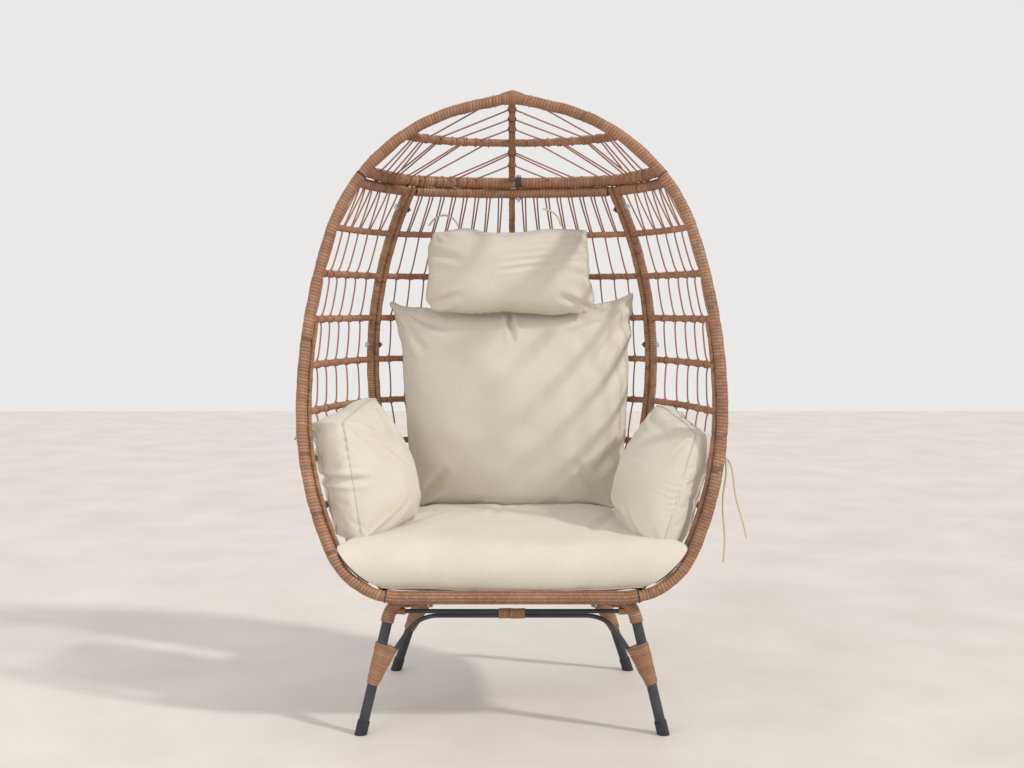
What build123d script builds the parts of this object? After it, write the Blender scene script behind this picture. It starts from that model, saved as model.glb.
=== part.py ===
from build123d import *
import os
from math import asin, atan2, cos, degrees, radians, sin, sqrt, tan

# Millimetres. Z is up, the chair faces -Y, and the origin is on the floor under its centre.

# ---- egg rim: tangent arcs in a plane that leans back ----------------------------------
RIM_LEAN = 9.4  # degrees from upright
BEAM_Y, BEAM_Z = -324.0, 323.0  # centre of the front beam
EGG_BASE_Z = 307.0  # underside of the front beam
EGG_HEIGHT = 1181.0  # up the leaning plane, as are the next three
EGG_WIDEST = 449.0
EGG_HALF_WIDTH = 496.5
TOP_R, LOWER_R, CORNER_R = 455.0, 810.0, 192.0
UPPER_JOINT = 37.2  # degrees up the top arc where crown and sides meet
LOWER_JOINT = -78.0  # degrees round the corner arc where beam and sides meet
PEAK_FROM = 77.0  # degrees up the top arc where the pointed peak begins
RIM_R = 13.0
BEAM_R = 15.5
JOINT_PLATE = 3.0

# ---- panels ----------------------------------------------------------------------------
RAIL_R = 8.0
RAIL_TOP_Z = 1166.0
RAIL_PITCH = 108.3
RAIL_COUNT = 8
SIDE_SAG = 20.0  # how far a side rail bows out
POST_R = 9.0
POST_SEAM = 0.6  # gap between a side post and the back post beside it
POST_TOP_Z = 1286.0
POST_ARC = (Vector(236, 149, 333), Vector(362, 188, 760), Vector(255, 122, 1287))
BACK_ARC = (Vector(0, 207, 333), Vector(0, 331, 760), Vector(0, 194, 1287))
PAIR_DIRECTION = Vector(-0.69, 0.72, 0).normalized()  # side post towards back post
TOP_BEAM_R, TOP_BEAM_Z = 12.0, 1274.0
RIB_R = 7.5
INNER_RIM_R = 7.0
INNER_RIM_INSET = 27.0
INNER_RIM_BACK = (30.0, 15.0)  # behind the rim at its foot and at its head
INNER_RIM_HEAD_Z = 950.0
INNER_RIM_FOOT, INNER_RIM_END = -62.0, 8.2  # degrees round the corner arc and the side arc

# ---- strands ---------------------------------------------------------------------------
STRAND_R = 1.9
SIDE_STRANDS = 6
BACK_STRANDS = 8  # on each side of the rib
STRAND_SPLAY = 0.42  # of a spacing, each way, between a side pair's two strands at the top beam
BACK_SPLAY = 0.16  # the same on the back panel
PAIR_FOOT = 2.3  # half the distance between a pair's feet

# ---- crown -----------------------------------------------------------------------------
RING_BEAM_R, RING_BEAM_Z = 13.4, 1300.0
CROWN_RAIL_R = 9.5
CROWN_RAIL_Z = 1382.0
CROWN_RIB_R = 8.5
CROWN_RIB_MID = Vector(0, 50, 1386)

# ---- seat ------------------------------------------------------------------------------
SEAT_Z = 323.0
SEAT_TUBE_R = 10.0
SEAT_BAR_X = 190.0
STRAP_COUNT, STRAP_WIDTH, STRAP_THICK = 7, 42.0, 2.0

# ---- stand -----------------------------------------------------------------------------
LEG_R = 12.0
LEG_BEND_R = 42.0
CROSSBAR_Z = 301.0
ROD_R = 5.0
STRETCHER_Z, BRACE_Z = 280.5, 270.3
BRACE_BEND_R, BRACE_FALL = 85.0, 56.0
BRACE_END_Z = 117.0
WRAP = 3.4  # thickness of the wound rattan over the stand
KNEE_Z = (115.0, 203.0)
CAP_R, CAP_TOP_Z, CAP_SOLE = 14.2, 31.0, 4.0
#        foot x, y, corner x, y, and the bow's bend x, y
FRONT = (347.0, -301.0, 276.0, -276.0, 130.0, -212.0)
REAR = (313.0, 240.0, 213.0, 213.0, 100.0, 150.0)

# ---- fasteners -------------------------------------------------------------------------
BOLT_R, HEAD_R, HEAD_H = 3.0, 6.5, 4.0
WASHER_R, WASHER_T = 8.5, 1.5
POST_BOLT_HEIGHTS = (1231.0, 879.0, 545.0)
REAR_BOLT = (160.0, 184.3)
CLIP_X, CLIP_W, CLIP_T = 17.0, 15.0, 2.2
HOLE_PLAY = 0.2  # between a bolt and its hole, on the radius

# ---- worked out ------------------------------------------------------------------------
LEAN = radians(RIM_LEAN)
RISE = EGG_HEIGHT - TOP_R - EGG_WIDEST
SIDE_R = (EGG_HALF_WIDTH**2 + RISE**2 - TOP_R**2) / (2 * (EGG_HALF_WIDTH - TOP_R))
CORNER_X = EGG_HALF_WIDTH - LOWER_R + sqrt((LOWER_R - CORNER_R) ** 2 - (EGG_WIDEST - CORNER_R) ** 2)
CORNER_END = degrees(atan2(CORNER_R - EGG_WIDEST, CORNER_X - EGG_HALF_WIDTH + LOWER_R))
SIDE_END = degrees(atan2(RISE, SIDE_R - EGG_HALF_WIDTH))
RAIL_HEIGHTS = [RAIL_TOP_Z - RAIL_PITCH * i for i in range(RAIL_COUNT)]
SEAT_TOP_Z = SEAT_Z + SEAT_TUBE_R

# centre x, centre height, radius, first and last angle of each arc of the right half
EGG_ARCS = (
    (CORNER_X, CORNER_R, CORNER_R, -90.0, CORNER_END),
    (EGG_HALF_WIDTH - LOWER_R, EGG_WIDEST, LOWER_R, CORNER_END, 0.0),
    (EGG_HALF_WIDTH - SIDE_R, EGG_WIDEST, SIDE_R, 0.0, SIDE_END),
    (0.0, EGG_HEIGHT - TOP_R, TOP_R, SIDE_END, 90.0),
)


def rim_y(z):
    """Depth of the rim's leaning plane at height z."""
    return BEAM_Y + (z - BEAM_Z) * tan(LEAN)


RIM_PLANE = Plane(
    origin=(0, rim_y(EGG_BASE_Z), EGG_BASE_Z), x_dir=(1, 0, 0), z_dir=(0, -cos(LEAN), sin(LEAN))
)


def group(solids):
    """One node's shape from several separate solids."""
    return Compound(children=[s for shape in solids for s in shape.solids()])


def mirrored(shape):
    """The left-hand copy of a right-hand shape."""
    return mirror(shape, about=Plane.YZ)


def both_sides(shapes):
    """Right-hand shapes and their left-hand copies."""
    shapes = list(shapes)
    return shapes + [mirrored(s) for s in shapes]


def tube(edges, radius):
    """A round bar along tangent edges."""
    path = Wire(edges) if isinstance(edges, (list, tuple)) else edges
    return sweep(Plane(origin=path @ 0, z_dir=path % 0) * Circle(radius), path=path)


def rod(a, b, radius):
    """A straight round bar between two points."""
    return extrude(Plane(origin=a, z_dir=b - a) * Circle(radius), amount=(b - a).length)


def cut(shape, *tools):
    """The solids of a shape with the tools taken away."""
    for tool in tools:
        shape = shape - tool
    return shape


def span(start, end, start_bar, end_bar, radius):
    """A straight rod from one round bar's surface to another's; a bar is (axis direction, radius)."""
    along = (end - start).normalized()
    trims = []
    for axis, bar_radius in (start_bar, end_bar):
        lean = abs(along.dot(axis.normalized()))
        trims.append((bar_radius + 0.05 + radius * lean) / sqrt(1 - lean * lean))
    return rod(start + along * trims[0], end - along * trims[1], radius)


def at_height(arc, z):
    """The point of a rising arc at height z."""
    low, high = 0.0, 1.0
    rising = (arc @ 1).Z > (arc @ 0).Z
    for _ in range(40):
        middle = (low + high) / 2
        if ((arc @ middle).Z < z) == rising:
            low = middle
        else:
            high = middle
    return arc @ low


# ---- egg outline -----------------------------------------------------------------------
def egg_edge(arc, inset, start, end):
    """Part of one outline arc from angle to angle, moved in by inset."""
    x, height, radius = arc[:3]
    points = []
    for angle in (start, (start + end) / 2, end):
        turned = radians(angle)
        at = (x + (radius - inset) * cos(turned), height + (radius - inset) * sin(turned), 0)
        points.append(RIM_PLANE.from_local_coords(Vector(*at)))
    return ThreePointArc(*points)


def egg_point(z, inset=RIM_R):
    """The point of the right half of the outline at height z, moved in by inset."""
    height = (z - EGG_BASE_Z) / cos(LEAN)
    for x, centre, radius, _, last in EGG_ARCS:
        radius -= inset
        if height <= centre + radius * sin(radians(last)):
            break
    angle = asin((height - centre) / radius)
    return Vector(x + radius * cos(angle), rim_y(z), z)


def side_rim():
    """Right side panel's front tube, from the beam's joint to the crown's joint."""
    corner, lower, side, top = EGG_ARCS
    corner_gap = degrees(JOINT_PLATE / 2 / (CORNER_R - RIM_R))
    top_gap = degrees(JOINT_PLATE / 2 / (TOP_R - RIM_R))
    return tube(
        [
            egg_edge(corner, RIM_R, LOWER_JOINT + corner_gap, CORNER_END),
            egg_edge(lower, RIM_R, CORNER_END, 0),
            egg_edge(side, RIM_R, 0, SIDE_END),
            egg_edge(top, RIM_R, SIDE_END, UPPER_JOINT - top_gap),
        ],
        RIM_R,
    )


def crown_rim():
    """Top arch of the rim, which rises to a point at its middle."""
    top = EGG_ARCS[3]
    gap = degrees(JOINT_PLATE / 2 / (TOP_R - RIM_R))
    arc = egg_edge(top, RIM_R, UPPER_JOINT + gap, PEAK_FROM)
    shoulder = arc @ 1
    rise = shoulder.X / tan(radians(PEAK_FROM))
    peak = Vector(0, shoulder.Y + rise * sin(LEAN), shoulder.Z + rise * cos(LEAN))
    past = peak + (peak - shoulder).normalized() * RIM_R
    half = tube([arc, Line(shoulder, past)], RIM_R)
    half = half & Pos(500, 0, 1400) * Box(1000, 1000, 1000)
    sleeve = rod(peak + (shoulder - peak).normalized() * 19, past, RIM_R + WRAP)
    sleeve = sleeve & Pos(500, 0, 1400) * Box(1000, 1000, 1000)
    rim = half + mirrored(half)
    tip = cut(sleeve + mirrored(sleeve), rim)
    return rim, tip, peak, shoulder


def front_beam():
    """Wound beam under the seat's front edge."""
    gap = degrees(JOINT_PLATE / 2 / (CORNER_R - BEAM_R))
    right = egg_edge(EGG_ARCS[0], BEAM_R, LOWER_JOINT - gap, -90)
    left = ThreePointArc(*[Vector(-p.X, p.Y, p.Z) for p in (right @ 1, right @ 0.5, right @ 0)])
    return tube([right, Line(right @ 1, left @ 0), left], BEAM_R)


def joint_plates():
    """Black plates between crown and side rims, and between side rims and beam."""
    plates = []
    for arc, angle in ((EGG_ARCS[3], UPPER_JOINT), (EGG_ARCS[0], LOWER_JOINT)):
        edge = egg_edge(arc, RIM_R, angle, angle + 1)
        face = Plane(origin=edge @ 0, x_dir=(0, 1, 0), z_dir=edge % 0)
        thickness = JOINT_PLATE - 0.3
        plates.append(extrude(face * Circle(RIM_R + 0.8), amount=thickness / 2, both=True))
    return [group(both_sides([p])) for p in plates]


# ---- walls -----------------------------------------------------------------------------
POST_AXIS = ThreePointArc(*POST_ARC)
BACK_AXIS = ThreePointArc(*BACK_ARC)
PAIR_HALF = POST_R + POST_SEAM / 2


def side_arc(z, sag=SIDE_SAG):
    """Level line of the right wall at height z, from rim to side post."""
    front = egg_point(z)
    back = at_height(POST_AXIS, z) - PAIR_DIRECTION * PAIR_HALF
    chord = (back - front).normalized()
    out = Vector(chord.Y, -chord.X, 0)
    return ThreePointArc(front, (front + back) / 2 + out * sag, back)


def back_arc(z):
    """Level line of the back wall at height z, from left back post to right."""
    right = at_height(POST_AXIS, z) + PAIR_DIRECTION * PAIR_HALF
    return ThreePointArc(Vector(-right.X, right.Y, z), at_height(BACK_AXIS, z), right)


def post(side):
    """A post of the right pair: side -1 belongs to the side panel, 1 to the back panel."""
    a, b, c = (p + PAIR_DIRECTION * PAIR_HALF * side for p in POST_ARC)
    whole = tube(ThreePointArc(a, b, c), POST_R)
    return whole & Pos(0, 0, (SEAT_TOP_Z + POST_TOP_Z) / 2) * Box(2000, 2000, POST_TOP_Z - SEAT_TOP_Z)


def inner_rim():
    """Thin tube inside the right rim, which closes on it towards the top."""
    foot, head = INNER_RIM_BACK
    slope = (head - foot) / (INNER_RIM_HEAD_Z - SEAT_TOP_Z)
    edges = []
    angles = ((INNER_RIM_FOOT, CORNER_END), (CORNER_END, 0.0), (0.0, INNER_RIM_END))
    for (start, end), arc in zip(angles, EGG_ARCS):
        flat = egg_edge(arc, INNER_RIM_INSET, start, end)
        points = []
        for t in (0, 0.5, 1):
            at = flat @ t
            points.append(Vector(at.X, at.Y + foot + (at.Z - SEAT_TOP_Z) * slope, at.Z))
        edges.append(ThreePointArc(*points))
    return tube(edges, INNER_RIM_R)


def seat_ring_path():
    """U-shaped centre line of the seat frame, from the right rim round the back to the left."""
    # heading in degrees after each bend, and its radius, from the front end to the middle
    bends = ((13.0, 1900.0), (57.0, 75.0), (20.0, 596.0))
    at, heading, edges = Vector(300, -310, SEAT_Z), 90.0, []
    for turn, radius in bends:
        edge = JernArc(start=(at.X, at.Y), tangent=(cos(radians(heading)), sin(radians(heading))),
                       radius=radius, arc_size=turn)
        edges.append(Pos(0, 0, SEAT_Z) * edge)
        at, heading = edges[-1] @ 1, heading + turn
    return edges


def rails_of(arc_at, radius=RAIL_R):
    """One rail at every rail height."""
    return [tube(arc_at(z), radius) for z in RAIL_HEIGHTS]


def strands_of(arcs, radii, fractions, splay):
    """Straight strands between neighbouring level lines, in pairs that spread up in the top bay."""
    strands = []
    close = PAIR_FOOT / arcs[1].length
    for level, (upper, lower) in enumerate(zip(arcs, arcs[1:])):
        for fraction in fractions:
            for way in (-1, 1) if level == 0 else (0,):
                top, foot = fraction + splay * way, fraction + close * way
                strands.append(
                    span(upper @ top, lower @ foot, (upper % top, radii[level]),
                         (lower % foot, radii[level + 1]), STRAND_R)
                )
    return strands


def side_panel(rim, ring):
    """Right side panel without its rim: post, top beam, rails and strands."""
    side_post = post(-1)
    inner = cut(inner_rim(), rim)
    beam = cut(tube(side_arc(TOP_BEAM_Z, 25), TOP_BEAM_R), rim, side_post)
    rails = cut(group(rails_of(side_arc)), rim, side_post, inner)
    arcs = [side_arc(TOP_BEAM_Z, 25)] + [side_arc(z) for z in RAIL_HEIGHTS]
    radii = [TOP_BEAM_R] + [RAIL_R] * RAIL_COUNT
    fractions = [(i + 1) / (SIDE_STRANDS + 1) for i in range(SIDE_STRANDS)]
    splay = STRAND_SPLAY / (SIDE_STRANDS + 1)
    strands = strands_of(arcs, radii, fractions, splay)
    for fraction in fractions:
        foot = ring[0] @ fraction
        strands.append(span(arcs[-1] @ fraction, foot, (arcs[-1] % fraction, RAIL_R),
                            (ring[0] % fraction, SEAT_TUBE_R), STRAND_R))
    return side_post, inner, beam, rails, group(strands)


def back_panel():
    """Back panel: its two posts, top beam, rails, rib and strands."""
    right = post(1)
    left = mirrored(right)
    rib = tube(BACK_AXIS, RIB_R)
    rib = rib & Pos(0, 0, 800) * Box(2000, 2000, 2 * (TOP_BEAM_Z - 800))
    beam_arc = back_arc(TOP_BEAM_Z)
    beam = cut(tube(beam_arc, TOP_BEAM_R), left, right)
    rib = cut(rib, beam)
    rails = cut(group(rails_of(back_arc)), left, right, rib)
    count = 2 * BACK_STRANDS + 2
    fractions = [i / count for i in range(1, count) if i != BACK_STRANDS + 1]
    arcs = [beam_arc] + [back_arc(z) for z in RAIL_HEIGHTS]
    radii = [TOP_BEAM_R] + [RAIL_R] * RAIL_COUNT
    strands = strands_of(arcs, radii, fractions, BACK_SPLAY / count)
    return left, right, beam, rails, rib, strands, fractions, arcs[-1]


# ---- crown -----------------------------------------------------------------------------
# strands of the crown's back bay: how far out each starts on the rail and ends on the ring beam
CROWN_BACK_STRANDS = (
    (0.92, 0.90), (0.84, 0.76), (0.81, 0.70), (0.73, 0.64), (0.70, 0.59), (0.575, 0.615),
    (0.555, 0.575), (0.36, 0.52), (0.34, 0.49), (0.167, 0.43),
)


def crown(rim, tip, peak):
    """Crown panel's ring beam, middle rail, rib and strands."""
    start = egg_point(RING_BEAM_Z)
    side_back = at_height(POST_AXIS, POST_TOP_Z)
    side_back = Vector(side_back.X, side_back.Y, RING_BEAM_Z)
    centre = BACK_AXIS @ 1
    centre = Vector(0, centre.Y, RING_BEAM_Z)
    ring_half = FilletPolyline(
        start, Vector(start.X - 8, -40, RING_BEAM_Z), Vector(side_back.X + 22, side_back.Y - 4, RING_BEAM_Z),
        Vector(110, centre.Y, RING_BEAM_Z), centre, radius=[260, 95, 330],
    )
    ring = cut(tube(ring_half, RING_BEAM_R), rim)
    ring = ring + mirrored(ring)
    rib_arc = ThreePointArc(peak, CROWN_RIB_MID, centre)
    rib = cut(tube(rib_arc, CROWN_RIB_R), rim, ring, tip)
    end = egg_point(CROWN_RAIL_Z)
    rail_arc = ThreePointArc(Vector(-end.X, end.Y, end.Z), CROWN_RIB_MID, end)
    rail = cut(tube(rail_arc, CROWN_RAIL_R), rim, rib)
    return ring, rib, rail, ring_half, rib_arc, rail_arc


def crown_strands(rim, ring, rib_arc, rail_arc, ring_half, peak, shoulder):
    """Slanting strands of the crown's two bays, right half and its mirror."""
    strands = []

    def rail_at(fraction):
        return rail_arc @ (0.5 + fraction / 2), rail_arc % (0.5 + fraction / 2)

    def ring_at(fraction):
        return ring_half @ (1 - fraction), ring_half % (1 - fraction)

    # front bay: one from the arch, the rest from the rib, out to the middle rail
    foot, axis = rail_at(0.69)
    strands.append(span(peak + (shoulder - peak) * 0.43, foot, (shoulder - peak, RIM_R),
                        (axis, CROWN_RAIL_R), STRAND_R))
    for along_rib, along_rail in ((0.145, 0.60), (0.265, 0.455), (0.383, 0.265)):
        foot, axis = rail_at(along_rail)
        strands.append(span(rib_arc @ along_rib, foot, (rib_arc % along_rib, CROWN_RIB_R),
                            (axis, CROWN_RAIL_R), STRAND_R))
    # back bay: from the middle rail out to the ring beam, then from the rib
    for along_rail, along_ring in CROWN_BACK_STRANDS:
        top, top_axis = rail_at(along_rail)
        foot, foot_axis = ring_at(along_ring)
        strands.append(span(top, foot, (top_axis, CROWN_RAIL_R), (foot_axis, RING_BEAM_R), STRAND_R))
    for along_rib, along_ring in ((0.648, 0.32), (0.672, 0.28), (0.80, 0.20)):
        foot, foot_axis = ring_at(along_ring)
        strands.append(span(rib_arc @ along_rib, foot, (rib_arc % along_rib, CROWN_RIB_R),
                            (foot_axis, RING_BEAM_R), STRAND_R))
    return both_sides([cut(s, rim, ring) for s in strands])


# ---- seat ------------------------------------------------------------------------------
def seat(beam, rims):
    """Seat frame: ring, two bars and the straps of the deck."""
    half = seat_ring_path()
    ring = cut(tube(half, SEAT_TUBE_R), *rims)
    ring = ring + mirrored(ring)
    bar = rod(Vector(SEAT_BAR_X, BEAM_Y, SEAT_Z), Vector(SEAT_BAR_X, 200, SEAT_Z), SEAT_TUBE_R)
    bars = [cut(b, beam, ring) for b in both_sides([bar])]
    bars = [Compound(children=[max(b.solids(), key=lambda s: s.volume)]) for b in bars]
    side = half[0]
    straps = []
    for i in range(STRAP_COUNT):
        y = -262 + i * 60.0
        low, high = 0.0, 1.0
        for _ in range(30):
            middle = (low + high) / 2
            low, high = (middle, high) if (side @ middle).Y < y else (low, middle)
        reach = (side @ low).X - 4
        straps.append(Pos(0, y, SEAT_TOP_Z + STRAP_THICK / 2) * Box(2 * reach, STRAP_WIDTH, STRAP_THICK))
    return ring, bars, straps, half


# ---- stand -----------------------------------------------------------------------------
def leg_y(frame, z):
    """Depth of a leg frame's plane at height z."""
    return frame[1] + (frame[3] - frame[1]) * z / CROSSBAR_Z


def leg_x(frame, z):
    """Half the distance between a frame's legs at height z."""
    return frame[0] + (frame[2] - frame[0]) * z / CROSSBAR_Z


def leg_path(frame):
    """Centre line of a bent leg frame: leg, bowed crossbar, leg."""
    foot = Vector(leg_x(frame, -20), leg_y(frame, -20), -20)
    corner = Vector(frame[2], frame[3], CROSSBAR_Z)
    bow = Vector(frame[4], frame[5], CROSSBAR_Z)
    right = [foot, corner, bow]
    left = [Vector(-p.X, p.Y, p.Z) for p in reversed(right)]
    radii = [LEG_BEND_R, 300, 300, LEG_BEND_R]
    return FilletPolyline(*right, *left, radius=radii)


def leg_frame(frame):
    """Both legs and the crossbar of one frame."""
    return tube(leg_path(frame), LEG_R) & Pos(0, 0, 500 + CAP_SOLE) * Box(2000, 2000, 1000)


def brace_path(frame):
    """Centre line of the arched rod under a crossbar, from leg to leg."""
    fall = radians(BRACE_FALL)
    end_x = leg_x(frame, BRACE_END_Z)
    bend_x = end_x - (BRACE_Z - BRACE_END_Z) / tan(fall)
    right = [Vector(end_x, leg_y(frame, BRACE_END_Z), BRACE_END_Z),
             Vector(bend_x, leg_y(frame, BRACE_Z), BRACE_Z)]
    left = [Vector(-p.X, p.Y, p.Z) for p in reversed(right)]
    return FilletPolyline(*right, *left, radius=BRACE_BEND_R)


def stretcher(frame, legs):
    """Straight thin rod between the legs, just under the crossbar."""
    x, y = leg_x(frame, STRETCHER_Z), leg_y(frame, STRETCHER_Z)
    return cut(rod(Vector(-x, y, STRETCHER_Z), Vector(x, y, STRETCHER_Z), ROD_R), legs)


def corner_wrap(frame, legs, *rods):
    """Wound sleeve over the right top corner of a frame."""
    path = leg_path(frame)
    whole = tube(path, LEG_R + WRAP)
    box = Pos(frame[2] - 46 + 200, frame[3], 256 + 200) * Box(400, 300, 400)
    return cut(whole & box, legs, *rods)


def knee_wrap(frame, legs, brace):
    """Wound wedge over the right leg and the end of its brace."""
    low, high = KNEE_Z
    sections = []
    for z, half_width, half_depth in ((low, 14.5, 14.5), (high, 27.0, 15.4)):
        inner = half_width - LEG_R - WRAP
        centre = Vector(leg_x(frame, z) - inner, leg_y(frame, z), z)
        sections.append(Plane(origin=centre) * Ellipse(half_width, half_depth))
    wedge = loft(sections)
    return cut(wedge, legs, brace)


def centre_wrap(frame, *rods):
    """Wound sleeve over both thin rods at the middle of a frame."""
    z = (STRETCHER_Z + BRACE_Z) / 2
    height = STRETCHER_Z - BRACE_Z + 2 * ROD_R + 4
    section = Plane(origin=(-30, leg_y(frame, z), z), x_dir=(0, 1, 0), z_dir=(1, 0, 0))
    sleeve = extrude(section * RectangleRounded(2 * ROD_R + 4, height, 5), amount=60)
    return cut(sleeve, *rods)


def foot_cap(frame, legs):
    """Rubber cap on the right foot of a frame."""
    low = Vector(leg_x(frame, -20), leg_y(frame, -20), -20)
    high = Vector(leg_x(frame, CAP_TOP_Z), leg_y(frame, CAP_TOP_Z), CAP_TOP_Z)
    cap = rod(low, high, CAP_R) & Pos(0, 0, 500) * Box(2000, 2000, 1000)
    return cut(cap, legs)


# ---- fasteners -------------------------------------------------------------------------
def bolt(centre, axis, grip, tail=5.0):
    """Bolt, nut and clearance hole through a grip centred on a point."""
    axis = axis.normalized()
    head = centre - axis * (grip / 2)
    foot = centre + axis * (grip / 2)
    hexagon = RegularPolygon(HEAD_R, 6)
    body = rod(head - axis * 0.5, foot + axis * (WASHER_T + HEAD_H + tail), BOLT_R)
    body += rod(head - axis * WASHER_T, head, WASHER_R)
    body += extrude(Plane(origin=head - axis * (WASHER_T + HEAD_H), z_dir=axis) * hexagon, amount=HEAD_H)
    nut = rod(foot, foot + axis * WASHER_T, WASHER_R)
    nut += extrude(Plane(origin=foot + axis * WASHER_T, z_dir=axis) * hexagon, amount=HEAD_H)
    return body, nut - body, rod(head - axis, foot + axis, BOLT_R + HOLE_PLAY)


def post_bolts():
    """Bolts that clamp each side post to its back post, square to both."""
    pairs = []
    for z in POST_BOLT_HEIGHTS:
        along = (at_height(POST_AXIS, z + 1) - at_height(POST_AXIS, z - 1)).normalized()
        across = PAIR_DIRECTION - along * along.dot(PAIR_DIRECTION)
        pairs.append(bolt(at_height(POST_AXIS, z), across, 4 * POST_R + POST_SEAM + 2 * HOLE_PLAY))
    return pairs


def crown_clip(ring, ring_line):
    """Bracket round the ring beam just right of its middle, and the bolt down through both beams."""
    band = Pos(CLIP_X, 150, RING_BEAM_Z + 2.5) * Box(CLIP_W, 200, 28)
    sleeve = tube(ring_line, RING_BEAM_R + CLIP_T) & band
    y = at_height(BACK_AXIS, TOP_BEAM_Z).Y
    grip = RING_BEAM_Z + RING_BEAM_R + CLIP_T - TOP_BEAM_Z + TOP_BEAM_R
    middle = Vector(CLIP_X, y, TOP_BEAM_Z - TOP_BEAM_R + grip / 2)
    return cut(sleeve, ring), bolt(middle, Vector(0, 0, -1), grip)


def stand_bolts():
    """Bolts that hold the seat frame down on the two crossbars."""
    front_y = FRONT[3] + (FRONT[5] - FRONT[3]) * (FRONT[2] - SEAT_BAR_X) / (FRONT[2] - FRONT[4])
    bolts = []
    for x, y in ((SEAT_BAR_X, front_y), REAR_BOLT):
        under = CROSSBAR_Z - LEG_R
        body = rod(Vector(x, y, under), Vector(x, y, SEAT_Z + 4), BOLT_R + 1)
        body += rod(Vector(x, y, under - 2.5), Vector(x, y, under + 1.2), WASHER_R)
        head = Plane(origin=(x, y, under - 2.5 - 5), z_dir=(0, 0, 1)) * RegularPolygon(HEAD_R, 6)
        bolts.append(body + extrude(head, amount=5))
    return bolts


# ---- soft parts ------------------------------------------------------------------------
def pillow(size, edge, place, top_width=None):
    """Bevelled block that holds a pillow's place: size is width, height and thickness."""
    width, height, thick = size
    top = top_width or width

    def section(depth, inset):
        low, high = width / 2 - inset, top / 2 - inset
        rise = height / 2 - inset
        face = Polygon((-low, -rise), (low, -rise), (high, rise), (-high, rise), align=None)
        return Pos(0, 0, depth) * fillet(face.vertices(), 14)

    body = loft([section(-thick / 2, edge), section(0, 0), section(thick / 2, edge)], ruled=True)
    return place * Rot(90, 0, 0) * body


def seat_cushion():
    """Thick D-shaped cushion that fills the egg's foot, wider at its top than at its base."""
    sections = []
    for z, inset in ((341.0, 36.0), (352.0, 32.0), (420.0, 33.0), (440.0, 46.0)):
        side = side_arc(z, 8)
        front, middle, rear = side @ 0, side @ 0.55, side @ 1
        rear_y = rear.Y - 10
        front = Vector(front.X - inset, BEAM_Y + 6 + max(0, z - 420) * 0.5, z)
        middle = Vector(middle.X - inset, middle.Y, z)
        rear = Vector(rear.X - inset, rear_y, z)
        back = Vector(0, at_height(BACK_AXIS, z).Y - inset, z)
        right = ThreePointArc(front, middle, rear)
        behind = ThreePointArc(rear, back, Vector(-rear.X, rear.Y, z))
        left = ThreePointArc(behind @ 1, Vector(-middle.X, middle.Y, z), Vector(-front.X, front.Y, z))
        sections.append(make_face([right, behind, left, Line(left @ 1, front)]))
    return loft(sections, ruled=True)


def tie(points, radius):
    """A free tape or cord along a route: straight runs joined by the widest arcs they allow."""
    points = [Vector(*p) for p in points]
    radii = []
    for a, b, c in zip(points, points[1:], points[2:]):
        turn = (b - a).get_angle(c - b)
        radii.append(0.45 * min((b - a).length, (c - b).length) / tan(radians(turn) / 2))
    print("tie radii", [round(r) for r in radii])
    return tube(FilletPolyline(*points, radius=radii), radius)


# routes of the cushions' ties, each from the point where it leaves the rim or its pillow
TIES = {
    "right_tie_long": [(490, -267, 630), (493, -264, 604), (489, -262, 572), (484, -263, 538),
                       (485, -265, 503), (489, -264, 466), (490, -266, 428), (487, -265, 391)],
    "right_tie_short": [(489, -256, 634), (501, -254, 624), (508, -255, 602), (511, -257, 570),
                        (516, -258, 538), (525, -256, 507), (535, -257, 477), (541, -259, 446)],
    "left_tie": [(-449, -213, 690), (-466, -213, 696), (-484, -212, 696), (-499, -213, 686),
                 (-506, -214, 669)],
    "head_tie_left": [(-138, 146, 1186), (-147, 150, 1202), (-163, 157, 1213), (-184, 164, 1215),
                      (-203, 170, 1206), (-216, 174, 1188)],
    "head_tie_right": [(126, 146, 1186), (122, 150, 1203), (111, 156, 1218), (96, 162, 1228),
                       (80, 167, 1231)],
}
TIE_R = 2.5


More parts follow.
